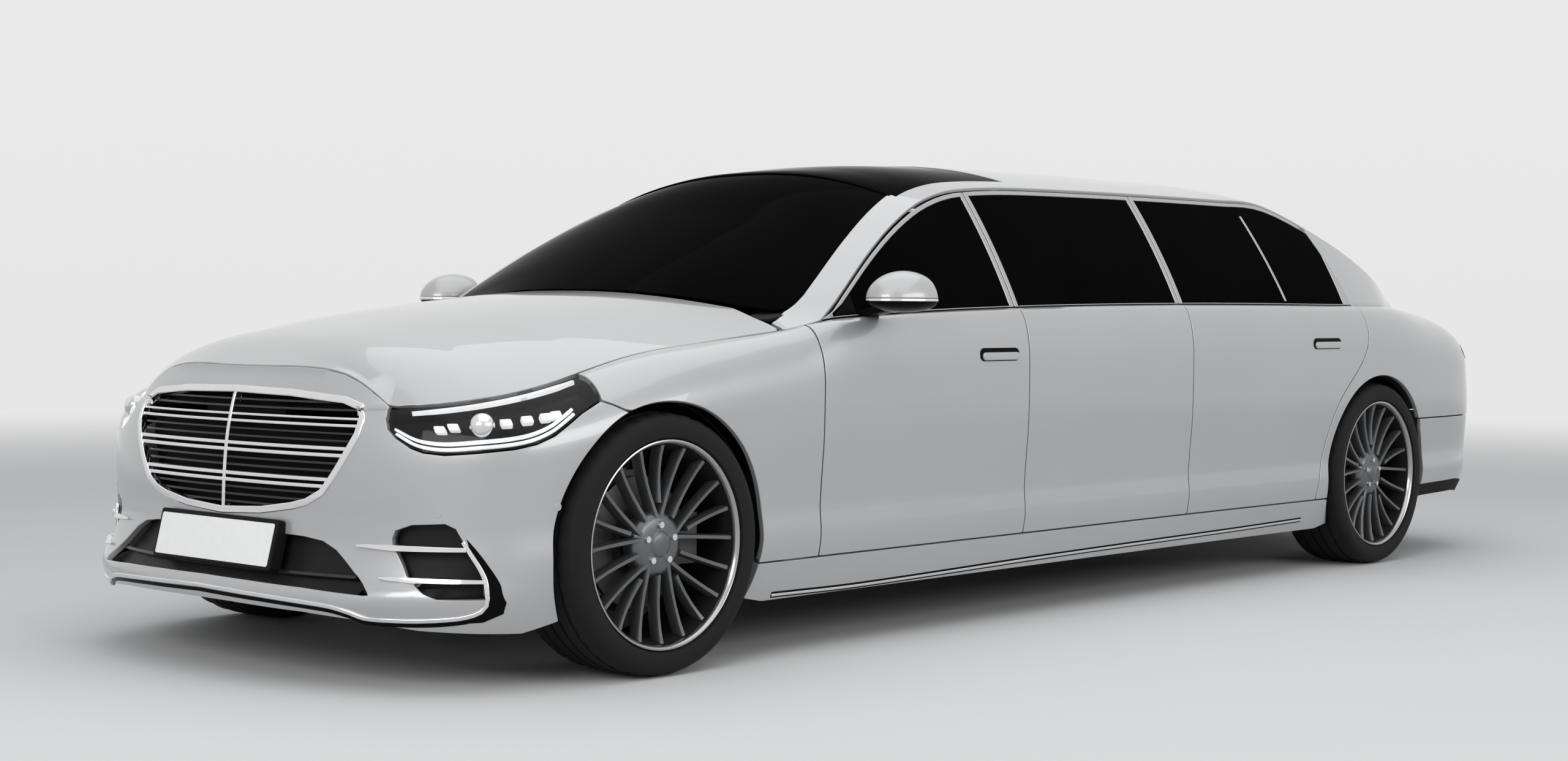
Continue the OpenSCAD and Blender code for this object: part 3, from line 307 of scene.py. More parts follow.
def corner_at(x, z, tail):
    """Angle round the nose or the tail, and y of its skin, at x and z."""
    a = TAIL_A if tail else NOSE_A
    y = corner_y(a, z, tail)
    half = half_at(y, np.full_like(y, z)) * power(np.cos(a), 2 / SIDE_POWER)
    at = np.interp(abs(x), half[::-1], a[::-1])
    return at, float(np.interp(at, a, y))


def on_flank(points):
    """(u, q) of points [x, y, z] on or near the skin."""
    x, y, z = np.array(points, float).T
    across = power(np.abs(x) / half_at(y, z), SIDE_POWER / 2)
    a, b = (np.arctan2(into_corner(y, z, tail), across) for tail in (False, True))
    u = np.where(y < NOSE_START, ROUND - np.interp(a, NOSE_A, NOSE_ARC),
                 np.where(y > TAIL_START, SIDE_END + np.interp(b, TAIL_A, TAIL_ARC), ROUND + y - NOSE_START))
    return np.stack([np.where(x < 0, -u, u), girth(y, z)], 1)


def on_side(rows):
    """(u, q) of points [y, z] on the straight part of the side."""
    y, z = np.array(rows, float).T
    return np.stack([ROUND + y - NOSE_START, girth(y, z)], 1)


def densify(loop, step):
    """The loop with points added, so that none are further apart than a step."""
    pieces = []
    for p, q in zip(loop, np.roll(loop, -1, 0)):
        n = max(1, math.ceil(np.linalg.norm(q - p) / step))
        pieces.append(p + (q - p) * np.arange(n)[:, None] / n)
    return np.concatenate(pieces)


def winding(loop, clockwise):
    """The loop turned round where it runs the wrong way."""
    x, y = loop.T
    area = (x * np.roll(y, -1) - np.roll(x, -1) * y).sum()
    return loop[::-1] if (area < 0) != clockwise else loop


def unit(rows):
    return rows / np.maximum(np.linalg.norm(rows, axis=1, keepdims=True), 1e-9)


def drawn_in(loop, by):
    """The loop moved to its left by a distance, with mitred corners."""
    along = unit(np.roll(loop, -1, 0) - loop)
    left = np.stack([-along[:, 1], along[:, 0]], 1)
    before = np.roll(left, 1, 0)
    return loop + by * (left + before) / np.maximum(1 + (left * before).sum(1, keepdims=True), 0.5)


def within(points, loop):
    """Which points lie inside the loop."""
    x, y = points[:, :1], points[:, 1:]
    a, b = loop, np.roll(loop, -1, 0)
    rise = np.where(b[:, 1] == a[:, 1], 1e-9, b[:, 1] - a[:, 1])
    crossed = ((a[:, 1] > y) != (b[:, 1] > y)) & (x < (b[:, 0] - a[:, 0]) * (y - a[:, 1]) / rise + a[:, 0])
    return crossed.sum(1) % 2 == 1


REACH = 0.6


def normals_of(place, points):
    s, t = points.T
    along = place(s + REACH, t) - place(s - REACH, t)
    up = place(s, t + REACH) - place(s, t - REACH)
    return unit(np.cross(along, up))


def proud(place, by):
    """The same skin moved outwards, or inwards when by is negative."""
    return lambda s, t: place(s, t) + by * normals_of(place, np.stack([s, t], 1))


def add_piece(name, mesh, finish_, body, slot, replaced=()):
    """Object from a mesh, on its body, with its finish and the drawn pieces that it stands for."""
    mesh.materials.append(finish_)
    thing = bpy.data.objects.new(name, mesh)
    scene.collection.objects.link(thing)
    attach(thing, body)
    if replaced:
        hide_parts(*replaced)
    return thing


def put(name, made, finish_, body, slot, flip=False, replaced=()):
    """Piece from a bmesh in metres, mirrored to the right side where asked."""
    if flip:
        bmesh.ops.scale(made, verts=made.verts, vec=(-1, 1, 1))
        bmesh.ops.reverse_faces(made, faces=made.faces)
    mesh = bpy.data.meshes.new(name)
    made.to_mesh(mesh)
    made.free()
    mesh.shade_smooth()
    mesh.set_sharp_from_angle(angle=math.radians(40))
    return add_piece(name, mesh, finish_, body, slot, replaced)


DIAGONAL, CLEAR = 0.7071, 0.45


def skin(name, place, outline, finish_, body, slot, replaced=(), holes=(), depth=14.0, inner=None, step=34.0,
         fine=None, gap=2.2, hem=2.4, mirrored=False):
    """Panel cut from a skin by an outline and holes in its own plane, with hemmed edges. Its inner face lies at an
    even depth, or where inner puts it."""
    def on_panel(points):
        held = within(points, loops[0])
        for hole in loops[1:]:
            held &= ~within(points, hole)
        return held

    fine = fine or step / 2
    loops = [drawn_in(densify(winding(np.array(loop, float), k > 0), fine), gap + hem)
             for k, loop in enumerate([outline, *holes])]
    rim = np.concatenate(loops)
    lo, hi = loops[0].min(0), loops[0].max(0)
    columns, rows = (np.arange(lo[k] + step / 2, hi[k], step) for k in (0, 1))
    grid = np.stack(np.meshgrid(columns, rows), -1).reshape(-1, 2)
    grid = grid[on_panel(grid)]
    near = np.array([((rim - p) ** 2).sum(1).min() for p in grid]) if len(grid) else np.zeros(0)
    points = np.concatenate([rim, grid[near > (CLEAR * step) ** 2]])
    ties, start = [], 0
    for loop in loops:
        n = len(loop)
        ties += [(start + k, start + (k + 1) % n) for k in range(n)]
        start += n
    found, _, faces, origin, _, _ = delaunay_2d_cdt([Vector(p) for p in points], ties, [], 0, 1e-5)
    flat = np.array([tuple(p) for p in found])
    index = {old: new for new, group in enumerate(origin) for old in group}
    tri = np.array(faces)
    tri = tri[on_panel(flat[tri].mean(1))]
    a, b, c = flat[tri[:, 0]], flat[tri[:, 1]], flat[tri[:, 2]]
    area = (b - a)[:, 0] * (c - a)[:, 1] - (b - a)[:, 1] * (c - a)[:, 0]
    tri[area < 0] = tri[area < 0][:, ::-1]
    outer, n = place(*flat.T), normals_of(place, flat)
    parts, all_faces, all_normals = [outer], tri.tolist(), n[tri].reshape(-1, 3).tolist()
    inner = inner or (lambda p, n: p)
    behind, back_at, total, start = inner(outer - depth * n, n), {}, len(outer), 0
    for loop in loops:
        ids = np.array([index[start + k] for k in range(len(loop))])
        start += len(loop)
        p, up = outer[ids], n[ids]
        out = unit(np.cross(np.roll(p, -1, 0) - np.roll(p, 1, 0), up))
        last, slant = p - hem * up + hem * out, DIAGONAL * (up + out)
        low = inner(last - (depth - hem) * up, up)
        rings = [(ids, up)]
        for ring, facing in ((p - hem * up + hem * slant, slant), (last, out), (low, out)):
            parts.append(ring)
            rings.append((np.arange(total, total + len(ids)), facing))
            total += len(ids)
        back_at.update(zip(ids.tolist(), rings[-1][0].tolist()))
        for (r0, n0), (r1, n1) in zip(rings, rings[1:]):
            for k in range(len(ids)):
                j = (k + 1) % len(ids)
                all_faces.append([int(r0[k]), int(r1[k]), int(r1[j]), int(r0[j])])
                all_normals += [n0[k].tolist(), n1[k].tolist(), n1[j].tolist(), n0[j].tolist()]
    inside = np.array([k for k in range(len(outer)) if k not in back_at], int)
    parts.append(behind[inside])
    back_at.update(zip(inside.tolist(), range(total, total + len(inside))))
    for f in tri[:, ::-1].tolist():
        all_faces.append([back_at[k] for k in f])
        all_normals += (-n[f]).tolist()
    points = np.concatenate(parts)
    if mirrored:
        points = points * [-1, 1, 1]
        flipped, k = [], 0
        for f in all_faces:
            flipped += [[-v[0], v[1], v[2]] for v in all_normals[k:k + len(f)][::-1]]
            k += len(f)
        all_faces, all_normals = [f[::-1] for f in all_faces], flipped
    mesh = bpy.data.meshes.new(name)
    mesh.from_pydata((points / 1000).tolist(), [], all_faces)
    mesh.shade_smooth()
    mesh.normals_split_custom_set(all_normals)
    mesh.update()
    add_piece(name, mesh, finish_, body, slot, replaced)


SIDES = (("L", "left", False), ("R", "right", True))


def pair(name, place, outline, finish_, body, slot, replaced=(), **sizes):
    """A panel at the left and its mirror image at the right. Braces stand for L or R, and in a body for the word."""
    for letter, word, flip in SIDES:
        skin(name.format(letter), place, outline, finish_, body.format(word), slot,
             [node.format(letter) for node in replaced], mirrored=flip, **sizes)


def ribbon(path, half):
    """Loop round a path in a skin's plane, at half its width on each side."""
    path = np.array(path, float)
    along = unit(np.gradient(path, axis=0))
    left = np.stack([-along[:, 1], along[:, 0]], 1) * np.reshape(half, (-1, 1))
    return np.concatenate([path - left, (path + left)[::-1]])


def strip(name, path, half, lift, finish_, slot, depth, fine, hem=2.4, body="body", base=flank, make=skin, **sizes):
    """Moulding along a path on a skin, half its width on each side of it, and proud of it by the lift."""
    make(name, proud(base, lift), ribbon(path, half), finish_, body, slot, depth=depth, fine=fine, gap=0, hem=hem,
         **sizes)


def mirrored_loop(rows):
    """Closed loop from its left half, given from the centre line round to the centre line."""
    rows = [list(r) for r in rows]
    return rows + [[-r[0], *r[1:]] for r in rows[-2:0:-1]]


def silver_lacquer(wire, where):
    flake = wire.noise(where, 1400.0, 0.0)
    cloud = wire.noise(where, 2.2)
    tone = wire.mix(cloud, (0.40, 0.405, 0.41), (0.44, 0.445, 0.45))
    return {"Base Color": wire.mix(flake * 0.22, tone, (0.62, 0.63, 0.64)), "Metallic": 0.35,
            "Roughness": 0.30 + cloud * 0.08, "Coat Weight": 1.0, "Coat Roughness": 0.03,
            "Normal": wire.bump(flake, 0.0004, 0.10)}


LACQUER = finish("silver lacquer", silver_lacquer)


def along_edge(y0, y1, n=16):
    """Points along the top edge of the sides."""
    return [[y, float(edge_z(y))] for y in np.linspace(y0, y1, n)]


def arch_line(centre, start, end, n=40):
    """Points round a wheel arch, from one angle to another, measured from straight up towards the tail."""
    return [[centre + ARCH * math.sin(a), AXLE_Z + ARCH * math.cos(a)]
            for a in np.radians(np.linspace(start, end, n))]


def rear_line(z0, z1, n=24):
    """Points along the rear doors' rear edge."""
    return [[float(curve(z, REAR_EDGE)), z] for z in np.linspace(z0, z1, n)]


WING_FRONT = [[FA - 218, 748], [FA - 185, 737], [FA - 150, 722]]
wing = on_side(along_edge(DOOR1, FA - 205, 18) + WING_FRONT + arch_line(FA, -19, 102)
               + [[FA + 378, SKIRT_TOP], [DOOR1, SKIRT_TOP]])
DOOR_IN, DOOR_OUT, SWING = 850, 955, 0.9


def door_back(y0):
    """Inner face of a door: flat behind the trim card, its front edge set back for the swing."""
    def place(p, n):
        x = np.minimum(DOOR_IN, p[:, 0])
        front = y0 + 4 + SWING * (np.minimum(p[:, 0] + 14, DOOR_OUT) - x)
        return np.stack([x, np.maximum(p[:, 1], front), p[:, 2]], 1)
    return place


front_door = on_side([[DOOR1, SKIRT_TOP], [MID0, SKIRT_TOP]] + along_edge(MID0, DOOR1))
mid_panel = on_side([[MID0, SKIRT_TOP], [DOOR2, SKIRT_TOP]] + along_edge(DOOR2, MID0))
rear_door = on_side([[DOOR2, SKIRT_TOP], [RA - 466, SKIRT_TOP]] + rear_line(290, 990) + along_edge(RA - 112, DOOR2))
pair("front_wing_{}", flank, wing, LACQUER, "body", "paint", ["front_wings"], depth=16)
pair("mid_panel_{}", flank, mid_panel, LACQUER, "body", "paint", ["mid_panels"])
for name, door, hinge in (("front", front_door, DOOR1), ("rear", rear_door, DOOR2)):
    pair(name + "_door_skin_{}", flank, door, LACQUER, name + "_door_{}", "paint", [name + "_door_{}"],
         inner=door_back(hinge))


# Bonnet: one aluminium pressing, lacquered as the sides, that meets the lamps directly and wraps down to the nose.
def edge_x(y):
    """Half width of the car at the top edge of its sides."""
    y = np.asarray(y, float)
    nose, tail = (power(1 - into_corner(y, edge_z(y), end) ** 2, 1 / SIDE_POWER) for end in (False, True))
    return (curve(y, STATIONS, 1) - curve(y, STATIONS, 2)) * (nose * tail)


def edge_points(y0, y1, n):
    """Points [x, y] along that edge, seen from above."""
    return [[float(edge_x(y)), y] for y in np.linspace(y0, y1, n)]


BONNET_HALF = 575


def bonnet_z(x, y):
    centre = curve(y, BONNET)
    share = np.clip(np.abs(x) / np.maximum(edge_x(y), BONNET_HALF), 0, 1.05)
    bend = np.interp(y, [FA - 680, FA - 400, FA - 100], [4.0, 2.8, 2.4])
    return centre - (centre - edge_z(y)) * share ** bend


def shut_line(x):
    """Point of the line where the bonnet meets the nose."""
    z = 780.0
    for _ in range(30):
        z += 0.5 * (float(bonnet_z(x, corner_at(x, z, False)[1])) - z)
    return [x, corner_at(x, z, False)[1], z]


def bonnet_skin(x, y):
    return np.stack([x, y, bonnet_z(x, y)], 1)


def cowl_points(xs, lift):
    """Points along the windscreen's foot, moved back by the lift."""
    return [[x, FA + 500 + 150 * (x / 750) ** 2 + lift] for x in xs]


SHUT = [shut_line(x) for x in (0, 120, 234, 330, 404, 460, 500, 535, 556, 566)]
half_bonnet = ([p[:2] for p in SHUT] + edge_points(FA - 625, FA + 540, 40)
               + [[float(edge_x(FA + 550)) - 12, FA + 552], [800, FA + 558], [740, FA + 560]]
               + cowl_points((640, 500, 340, 170), -30) + [[0, FA + 470]])
skin("bonnet_skin", bonnet_skin, mirrored_loop(half_bonnet), LACQUER, "bonnet", "paint", ["bonnet"], step=36)


# Roof: a steel pressing with the windscreen pillars in one, and a dark glass panel let into its front. The windscreen
# and the rear window are dark bonded glass.
def glass_x(y, z):
    h = np.maximum(z - edge_z(y), 0)
    return edge_x(y) - 8 - 0.45 * h - 0.00034 * h * h


def rail_x(y):
    """Half width of the roof at its rails."""
    return glass_x(y, curve(y, RAIL))


def rail_points(y0, y1, n, inset=0):
    return [[float(rail_x(y)) - inset, y] for y in np.linspace(y0, y1, n)]


def top_z(x, y):
    centre = curve(y, CENTRE)
    return centre - (centre - curve(y, RAIL)) * np.clip(np.abs(x) / rail_x(y), 0, 1.2) ** 2.3


BLEND = 14.0


def roof_skin(x, y):
    """The roof's top, run smoothly into the bonnet's surface at the foot of the pillars."""
    z = top_z(x, y)
    join = BLEND * np.logaddexp(z / BLEND, bonnet_z(x, y) / BLEND)
    return np.stack([x, y, np.where(y < FA + 1000, join, z)], 1)


HEADER, REAR_HEADER, REAR_FOOT, WINDOW_IN = FA + 1330, RA - 130, RA + 540, 105
half_roof = ([[0, HEADER]] + rail_points(HEADER, HEADER, 1, WINDOW_IN)
             + rail_points(HEADER - 30, FA + 700, 16, WINDOW_IN) + [[772, FA + 650], [790, FA + 606], [800, FA + 568]]
             + edge_points(FA + 562, FA + 690, 6) + rail_points(FA + 720, REAR_FOOT, 60)
             + rail_points(REAR_FOOT, REAR_HEADER, 14, WINDOW_IN) + [[0, REAR_HEADER]])
panel_side = rail_points(HEADER + 9, HEADER + 640, 10, 78)
roof_panel = panel_side + [[-x, y] for x, y in panel_side[::-1]]
skin("roof_skin", roof_skin, mirrored_loop(half_roof), LACQUER, "body", "paint", ["roof"], holes=[roof_panel],
     depth=10, step=40, gap=1.0)
DARK_GLASS = mottled("dark glass", 3.0, 0.002, 0.004, 0.02, 0.03, gloss=0.001)


def top_glass(x, y):
    return np.stack([x, y, top_z(x, y) - 3], 1)


half_screen = (cowl_points((0, 170, 340, 500, 640), 8) + [[730, FA + 652]]
               + rail_points(FA + 690, HEADER, 16, WINDOW_IN) + [[0, HEADER]])
half_rear = [[0, REAR_HEADER]] + rail_points(REAR_HEADER, REAR_FOOT, 14, WINDOW_IN) + [[0, RA + 548]]
for name, outline in (("windscreen", mirrored_loop(half_screen)), ("rear_window", mirrored_loop(half_rear)[::-1]),
                      ("roof_glass", roof_panel)):
    skin(name, top_glass, outline, DARK_GLASS, "body", "black_glass", ["fixed_glass"], depth=5, step=45)
seal_x = float(rail_x(HEADER)) - WINDOW_IN + 10
seal = [[-seal_x, HEADER - 8], [seal_x, HEADER - 8], [seal_x, HEADER + 16], [-seal_x, HEADER + 16]]
skin("header_seal", proud(top_glass, 4.5), seal, DARK_GLASS, "body", "trim", depth=5, fine=40, gap=0, hem=1.5)


# Side windows: dark glass set a few millimetres into bright aluminium frames on the doors and the fixed panel.
def window_plane(y, z):
    return np.stack([glass_x(y, z), y, z], 1)


def window_loop(y0, y1, low=10, high=27, least=4):
    """Outline of a pane, from its clearance over the side's edge to its clearance under the rail."""
    ys = np.linspace(y0, y1, 18)
    top = [[y, float(max(curve(y, RAIL) - high, edge_z(y) + low + least))] for y in ys]
    return [[y, float(edge_z(y)) + low] for y in ys] + top[::-1]


def frame_loop(y0, y1, rear):
    """Outline of a window's frame. The rear one ends along the rear door's edge."""
    loop = window_loop(y0, y1, 1, 8, 5)
    low, top = loop[:18], loop[:17:-1]
    edge = []
    if rear:
        edge = rear_line(1015, 1290, 12)
        low = [p for p in low if p[0] < edge[0][0] - 5]
        top = [p for p in top if p[0] < edge[-1][0] - 10]
    return low + edge + top[::-1]


BRIGHT = mottled("brushed bright trim", 6.0, (0.42, 0.42, 0.43), (0.52, 0.52, 0.53), 0.22, 0.12, metal=0.9,
                 stretch=(60.0, 4.0, 240.0))
WINDOWS = (("front", FA + 750, MID0 - 26, DOOR1 + 68, MID0), ("mid", MID0 + 24, DOOR2 - 24, MID0, DOOR2),
           ("rear", DOOR2 + 26, RA - 172, DOOR2, RA - 108))
for name, y0, y1, f0, f1 in WINDOWS:
    body, holder, pane = name + "_door_{}", name + "_door_{}", name + "_glass_{}"
    if name == "mid":
        body, holder, pane = "body", "mid_panels", "fixed_glass"
    pair(name + "_window_frame_{}", window_plane, frame_loop(f0, f1, name == "rear"), BRIGHT, body, "paint", [holder],
         holes=[window_loop(y0, y1)], depth=20, step=20)
    pair(name + "_window_{}", proud(window_plane, -4), window_loop(y0 - 6, y1 + 6, 5, 21), DARK_GLASS, body,
         "black_glass", [pane], depth=5, step=40, gap=0.3)


# Front bumper: one moulding round both corners, lacquered with the body, with openings for the grille, the middle
# intake and the two side intakes. The lamps sit in its upper corners.
def on_nose(rows):
    """(u, q) of points [x, z] on the nose."""
    spots = [(x, z, *corner_at(x, z, False)) for x, z in rows]
    return np.array([[math.copysign(ROUND - np.interp(at, NOSE_A, NOSE_ARC), x), float(girth(y, z))]
                     for x, z, at, y in spots])


LAMP_LOW = [[573, FA - 640, 728], [576, FA - 655, 700], [590, FA - 661, 676], [616, FA - 660, 655],
            [665, FA - 649, 630], [700, FA - 636, 619], [752, FA - 609, 614], [819, FA - 561, 620],
            [884, FA - 484, 630], [908, FA - 433, 642], [920, FA - 381, 663], [922, FA - 337, 689],
            [919, FA - 287, 718]]
wing_side = on_flank([[half_at(y, z), y, z] for y, z in WING_FRONT + arch_line(FA, -21, -118)])
lamp_low = np.concatenate([on_flank(LAMP_LOW), wing_side[:1]])
lamp_top = on_flank([[x, y, float(edge_z(y))] for x, y in edge_points(FA - 205, FA - 628, 26)])
half_bumper = np.concatenate([
    on_nose([[x, z] for x, y, z in SHUT]), lamp_low, wing_side[1:],
    on_nose([[862, 150], [813, 155], [709, 163], [578, 184], [400, 196], [135, 202], [0, 203]])])
GRILLE = [[0, 762], [240, 757], [430, 743], [482, 727], [501, 704], [500, 660], [468, 600], [430, 545], [398, 507],
          [345, 481], [290, 468], [170, 451], [0, 442]]
INTAKE = [[0, 392], [240, 388], [340, 385], [410, 377], [460, 357], [531, 308], [575, 280], [606, 256], [404, 266],
          [200, 270], [0, 272]]
SIDE_INTAKE = [[629, 398], [636, 416], [677, 431], [757, 436], [779, 424], [797, 390], [821, 348], [841, 293],
               [848, 250], [771, 252], [741, 267], [716, 285], [685, 309], [654, 353], [631, 381]]
grille, intake, side_intake = mirrored_loop(on_nose(GRILLE)), mirrored_loop(on_nose(INTAKE)), on_nose(SIDE_INTAKE)
skin("front_bumper_skin", flank, mirrored_loop(half_bumper), LACQUER, "body", "paint", ["front_bumper"],
     holes=[grille, intake, side_intake, side_intake * [-1, 1]], depth=16, step=26, fine=12)


# Headlamps: a dark moulded bowl with a bright light guide along the top, a double one along the bottom, small
# reflector blocks and one domed lens, behind a clear moulded cover that closes the bumper's upper corner.
def clear_cover(wire, where):
    haze = wire.noise(where, 5.0)
    return {"Base Color": (0.03, 0.03, 0.03, 1), "Roughness": 0.02 + haze * 0.03, "Alpha": 0.10 + haze * 0.04,
            "Specular IOR Level": 0.9}


def light_guide(wire, where):
    ripple = wire.noise(where, 60.0)
    return {"Base Color": wire.mix(ripple, (0.78, 0.79, 0.80), (0.92, 0.92, 0.93)), "Roughness": 0.18 + ripple * 0.1,
            "Emission Color": wire.mix(ripple, (0.8, 0.82, 0.85), (1.0, 1.0, 1.0)), "Emission Strength": 0.6}


COVER, GUIDE = finish("clear lamp cover", clear_cover), finish("lamp light guide", light_guide)
PIANO = mottled("gloss black", 9.0, 0.003, 0.006, 0.08, 0.08, gloss=0.03)
CHROME = mottled("chrome plate", 14.0, (0.72, 0.72, 0.73), (0.82, 0.82, 0.83), 0.05, 0.08, metal=1.0)


def smooth_path(points, n=40):
    """Points evenly along a path, rounded at its corners."""
    points = np.array(points, float)
    run = np.concatenate([[0], np.cumsum(np.linalg.norm(np.diff(points, axis=0), axis=1))])
    t = np.linspace(0, run[-1], n)
    table = np.column_stack([run, points])
    return np.stack([curve(t, table, 1), curve(t, table, 2)], 1)


lamp = np.concatenate([lamp_low, lamp_top])
low_path, top_path = smooth_path(lamp_low[3:]), smooth_path(lamp_top[1:-1])
fade = np.clip(np.minimum(np.arange(40), 39 - np.arange(40)) / 5, 0.5, 1)
GUIDE_IN, GUIDE_DEPTH = -9, 12
BLOCKS = [[719, FA - 604, 685], [747, FA - 581, 693], [845, FA - 480, 707], [871, FA - 428, 715],
          [889, FA - 378, 721], [896, FA - 348, 726]]
BLOCK = np.array([[-15, -12], [15, -12], [15, 12], [-15, 12]])
pair("lamp_cover_{}", flank, lamp, COVER, "body", "lamp", ["headlamps"], depth=3, step=24, fine=9)
pair("lamp_bowl_{}", proud(flank, -42), lamp, PIANO, "body", "lamp", ["headlamps"], depth=6, step=24, gap=-3)
strip("lamp_top_guide_{}", top_path - [0, 15], 10 * fade, GUIDE_IN, GUIDE, "lamp", GUIDE_DEPTH, 8, 1.5, make=pair)
for k, lift in enumerate((15, 31)):
    strip(f"lamp_low_guide_{{}}_{k + 1}", low_path[:-6] + [0, lift], 4.5, GUIDE_IN, GUIDE, "lamp", GUIDE_DEPTH, 8,
          1.6, make=pair)
for k, spot in enumerate(on_flank(BLOCKS)):
    pair(f"lamp_block_{{}}_{k + 1}", proud(flank, -16), spot + BLOCK, GUIDE, "body", "lamp", depth=18, fine=6, gap=0,
         hem=3)
for letter, word, flip in SIDES:
    dome = bmesh.new()
    bmesh.ops.create_uvsphere(dome, u_segments=32, v_segments=16, radius=0.034)
    bmesh.ops.translate(dome, verts=dome.verts, vec=(0.796, (FA - 520) / 1000, 0.686))
    put(f"lamp_dome_{letter}", dome, CHROME, "body", "lamp", flip)


# Grille: a chrome frame round a dark opening, fine dark louvres right across, three double chrome slats and a middle
# bar, all clipped to the back of the bumper.
BLACK = mottled("matt black plastic", 700.0, 0.004, 0.010, 0.55, 0.2, gloss=0.12, relief=(0.0004, 0.3))
SMOKE = mottled("dark chrome", 18.0, (0.035, 0.035, 0.037), (0.06, 0.06, 0.063), 0.18, 0.1, metal=0.8)


def grille_reach(z):
    """Half width of the grille's opening at a height."""
    rows = np.array(GRILLE[3:][::-1])
    return float(np.interp(z, rows[:, 1], rows[:, 0]))


def nose_bar(z, reach):
    """Path across the nose at a height."""
    return on_nose([[x, z] for x in np.linspace(-reach, reach, 21)])


opening = winding(np.array(grille), False)
skin("grille_frame", proud(flank, 4), drawn_in(opening, -14), CHROME, "body", "grille", ["grille"],
     holes=[drawn_in(opening, 7)], depth=16, step=20, fine=10, gap=0, hem=4)
skin("grille_back", proud(flank, -46), grille, BLACK, "body", "grille", depth=4, step=60, gap=-6)
for k, z in enumerate(np.linspace(462, 742, 15)):
    strip(f"grille_louvre_{k + 1}", nose_bar(z, grille_reach(z) - 6), 3.2, -14, SMOKE, "grille", 16, 30, 1.2)
for k, middle in enumerate((530, 612, 690)):
    for j, z in enumerate((middle - 9, middle + 9)):
        strip(f"grille_slat_{k + 1}_{j + 1}", nose_bar(z, grille_reach(z) - 2), 5.2, -1, CHROME, "grille", 22, 30)
strip("grille_middle_bar", on_nose([[0.01, z] for z in np.linspace(444, 760, 12)]), 7, 1, CHROME, "grille", 20, 24, 3)


# Lower intakes: black honeycomb panels behind the openings, two pointed fins at each side, and a chrome blade that
# runs along the lip and turns up at the corners beside gloss black ends.
def honeycomb(wire, where):
    cells = wire.node("ShaderNodeTexVoronoi", {"Vector": where, "Scale": 45.0, "Randomness": 0.0})
    # Small dots at the cells' middles stand for the holes. They get a bump and a darker colour, and that darker
    # colour is painted shade in the holes.
    hole = wire.sum("SMOOTH_MIN", cells * 60.0, 1.0)
    return {"Base Color": wire.mix(hole, (0.001, 0.001, 0.001), (0.014, 0.014, 0.014)), "Roughness": 0.4,
            "Specular IOR Level": 0.12, "Normal": wire.bump(hole, 0.004, 0.6)}


MESH = finish("black honeycomb", honeycomb)
BLADE = [[0, 240], [120, 237], [325, 231], [489, 222], [547, 210], [588, 196], [663, 193], [723, 194], [776, 198],
         [812, 204], [840, 219], [852, 244], [848, 287], [837, 322], [814, 364], [796, 395]]
CORNER = [[803, 402], [828, 368], [848, 335], [869, 282], [873, 239], [864, 210], [834, 189], [718, 181], [626, 181],
          [663, 193], [723, 194], [776, 198], [812, 204], [840, 219], [852, 244], [848, 287], [837, 322], [814, 364]]
FINS = [([[528, 374], [557, 374.5], [631, 373], [720, 373], [806, 373]], [2.2, 5, 8, 7, 5.5]),
        ([[618, 295], [644, 294.5], [709, 293], [780, 293], [845, 293]], [2.2, 5, 7, 6.5, 5])]
SENSORS, turns = [[740, FA - 620, 464], [919, FA - 370, 478]], np.linspace(0, 2 * np.pi, 24, False)
sensor = 11 * np.stack([np.cos(turns), np.sin(turns)], 1)


def across(half):
    """Path right across the car from its left half, given from the centre line out."""
    return np.concatenate([(half * [-1, 1])[:0:-1], half])


for make, name, opening in ((skin, "intake_mesh", intake), (pair, "side_intake_mesh_{}", side_intake)):
    make(name, proud(flank, -34), opening, MESH, "body", "grille", depth=4, step=50, gap=-8)
strip("intake_bar", nose_bar(300, 540), 4, -12, SMOKE, "grille", 14, 30, 1.5)
strip("lip_blade", across(smooth_path(on_nose(BLADE), 60)), 6, 5, CHROME, "trim", 9, 14, 3)
under = smooth_path(on_nose([[x, z - 13] for x, z in BLADE[:10]]), 50)
strip("lip_shadow", across(under), 5, 1.5, PIANO, "trim", 5, 16, 1.2)
pair("corner_black_{}", proud(flank, 1.2), on_nose(CORNER), PIANO, "body", "trim", depth=4, step=20, gap=0, hem=1)
for k, (path, half) in enumerate(FINS):
    strip(f"intake_fin_{{}}_{k + 1}", on_nose(path), half, 9, CHROME, "trim", 24, 16, 0.8, make=pair)
for k, spot in enumerate(on_flank(SENSORS)):
    pair(f"sensor_{{}}_{k + 1}", proud(flank, 1.0), spot + sensor, LACQUER, "body", "paint", depth=5, fine=5, gap=0.8,
         hem=1)


# Number plate: a blank white pressed plate in a black holder, screwed to the bumper over the middle intake.
PLATE_Y, PLATE_Z, PLATE_LEAN = FA - 799, 304, 0.25


def plate_face(x, z):
    return np.stack([x, PLATE_Y + (z - PLATE_Z) * PLATE_LEAN, z], 1)


def soft_corners(x0, x1, z0, z1, r):
    """Rectangle with rounded corners."""
    turns = ((x1 - r, z0 + r, -90), (x1 - r, z1 - r, 0), (x0 + r, z1 - r, 90), (x0 + r, z0 + r, 180))
    return [[x + r * math.cos(a), z + r * math.sin(a)] for x, z, a0 in turns
            for a in np.radians(np.linspace(a0, a0 + 90, 5))]


WHITE = mottled("blank plate", 40.0, (0.90, 0.90, 0.89), (0.95, 0.95, 0.94), 0.35, 0.15)
skin("plate_holder", plate_face, soft_corners(-272, 272, 296, 428, 8), BLACK, "body", "trim", depth=36, step=60,
     fine=20, gap=0, hem=3)
skin("number_plate", lambda x, z: plate_face(x, z) - [0, 3, 0], soft_corners(-260, 260, 305, 417, 6), WHITE, "body",
     "trim", depth=2.5, step=60, fine=20, gap=0, hem=1.2)


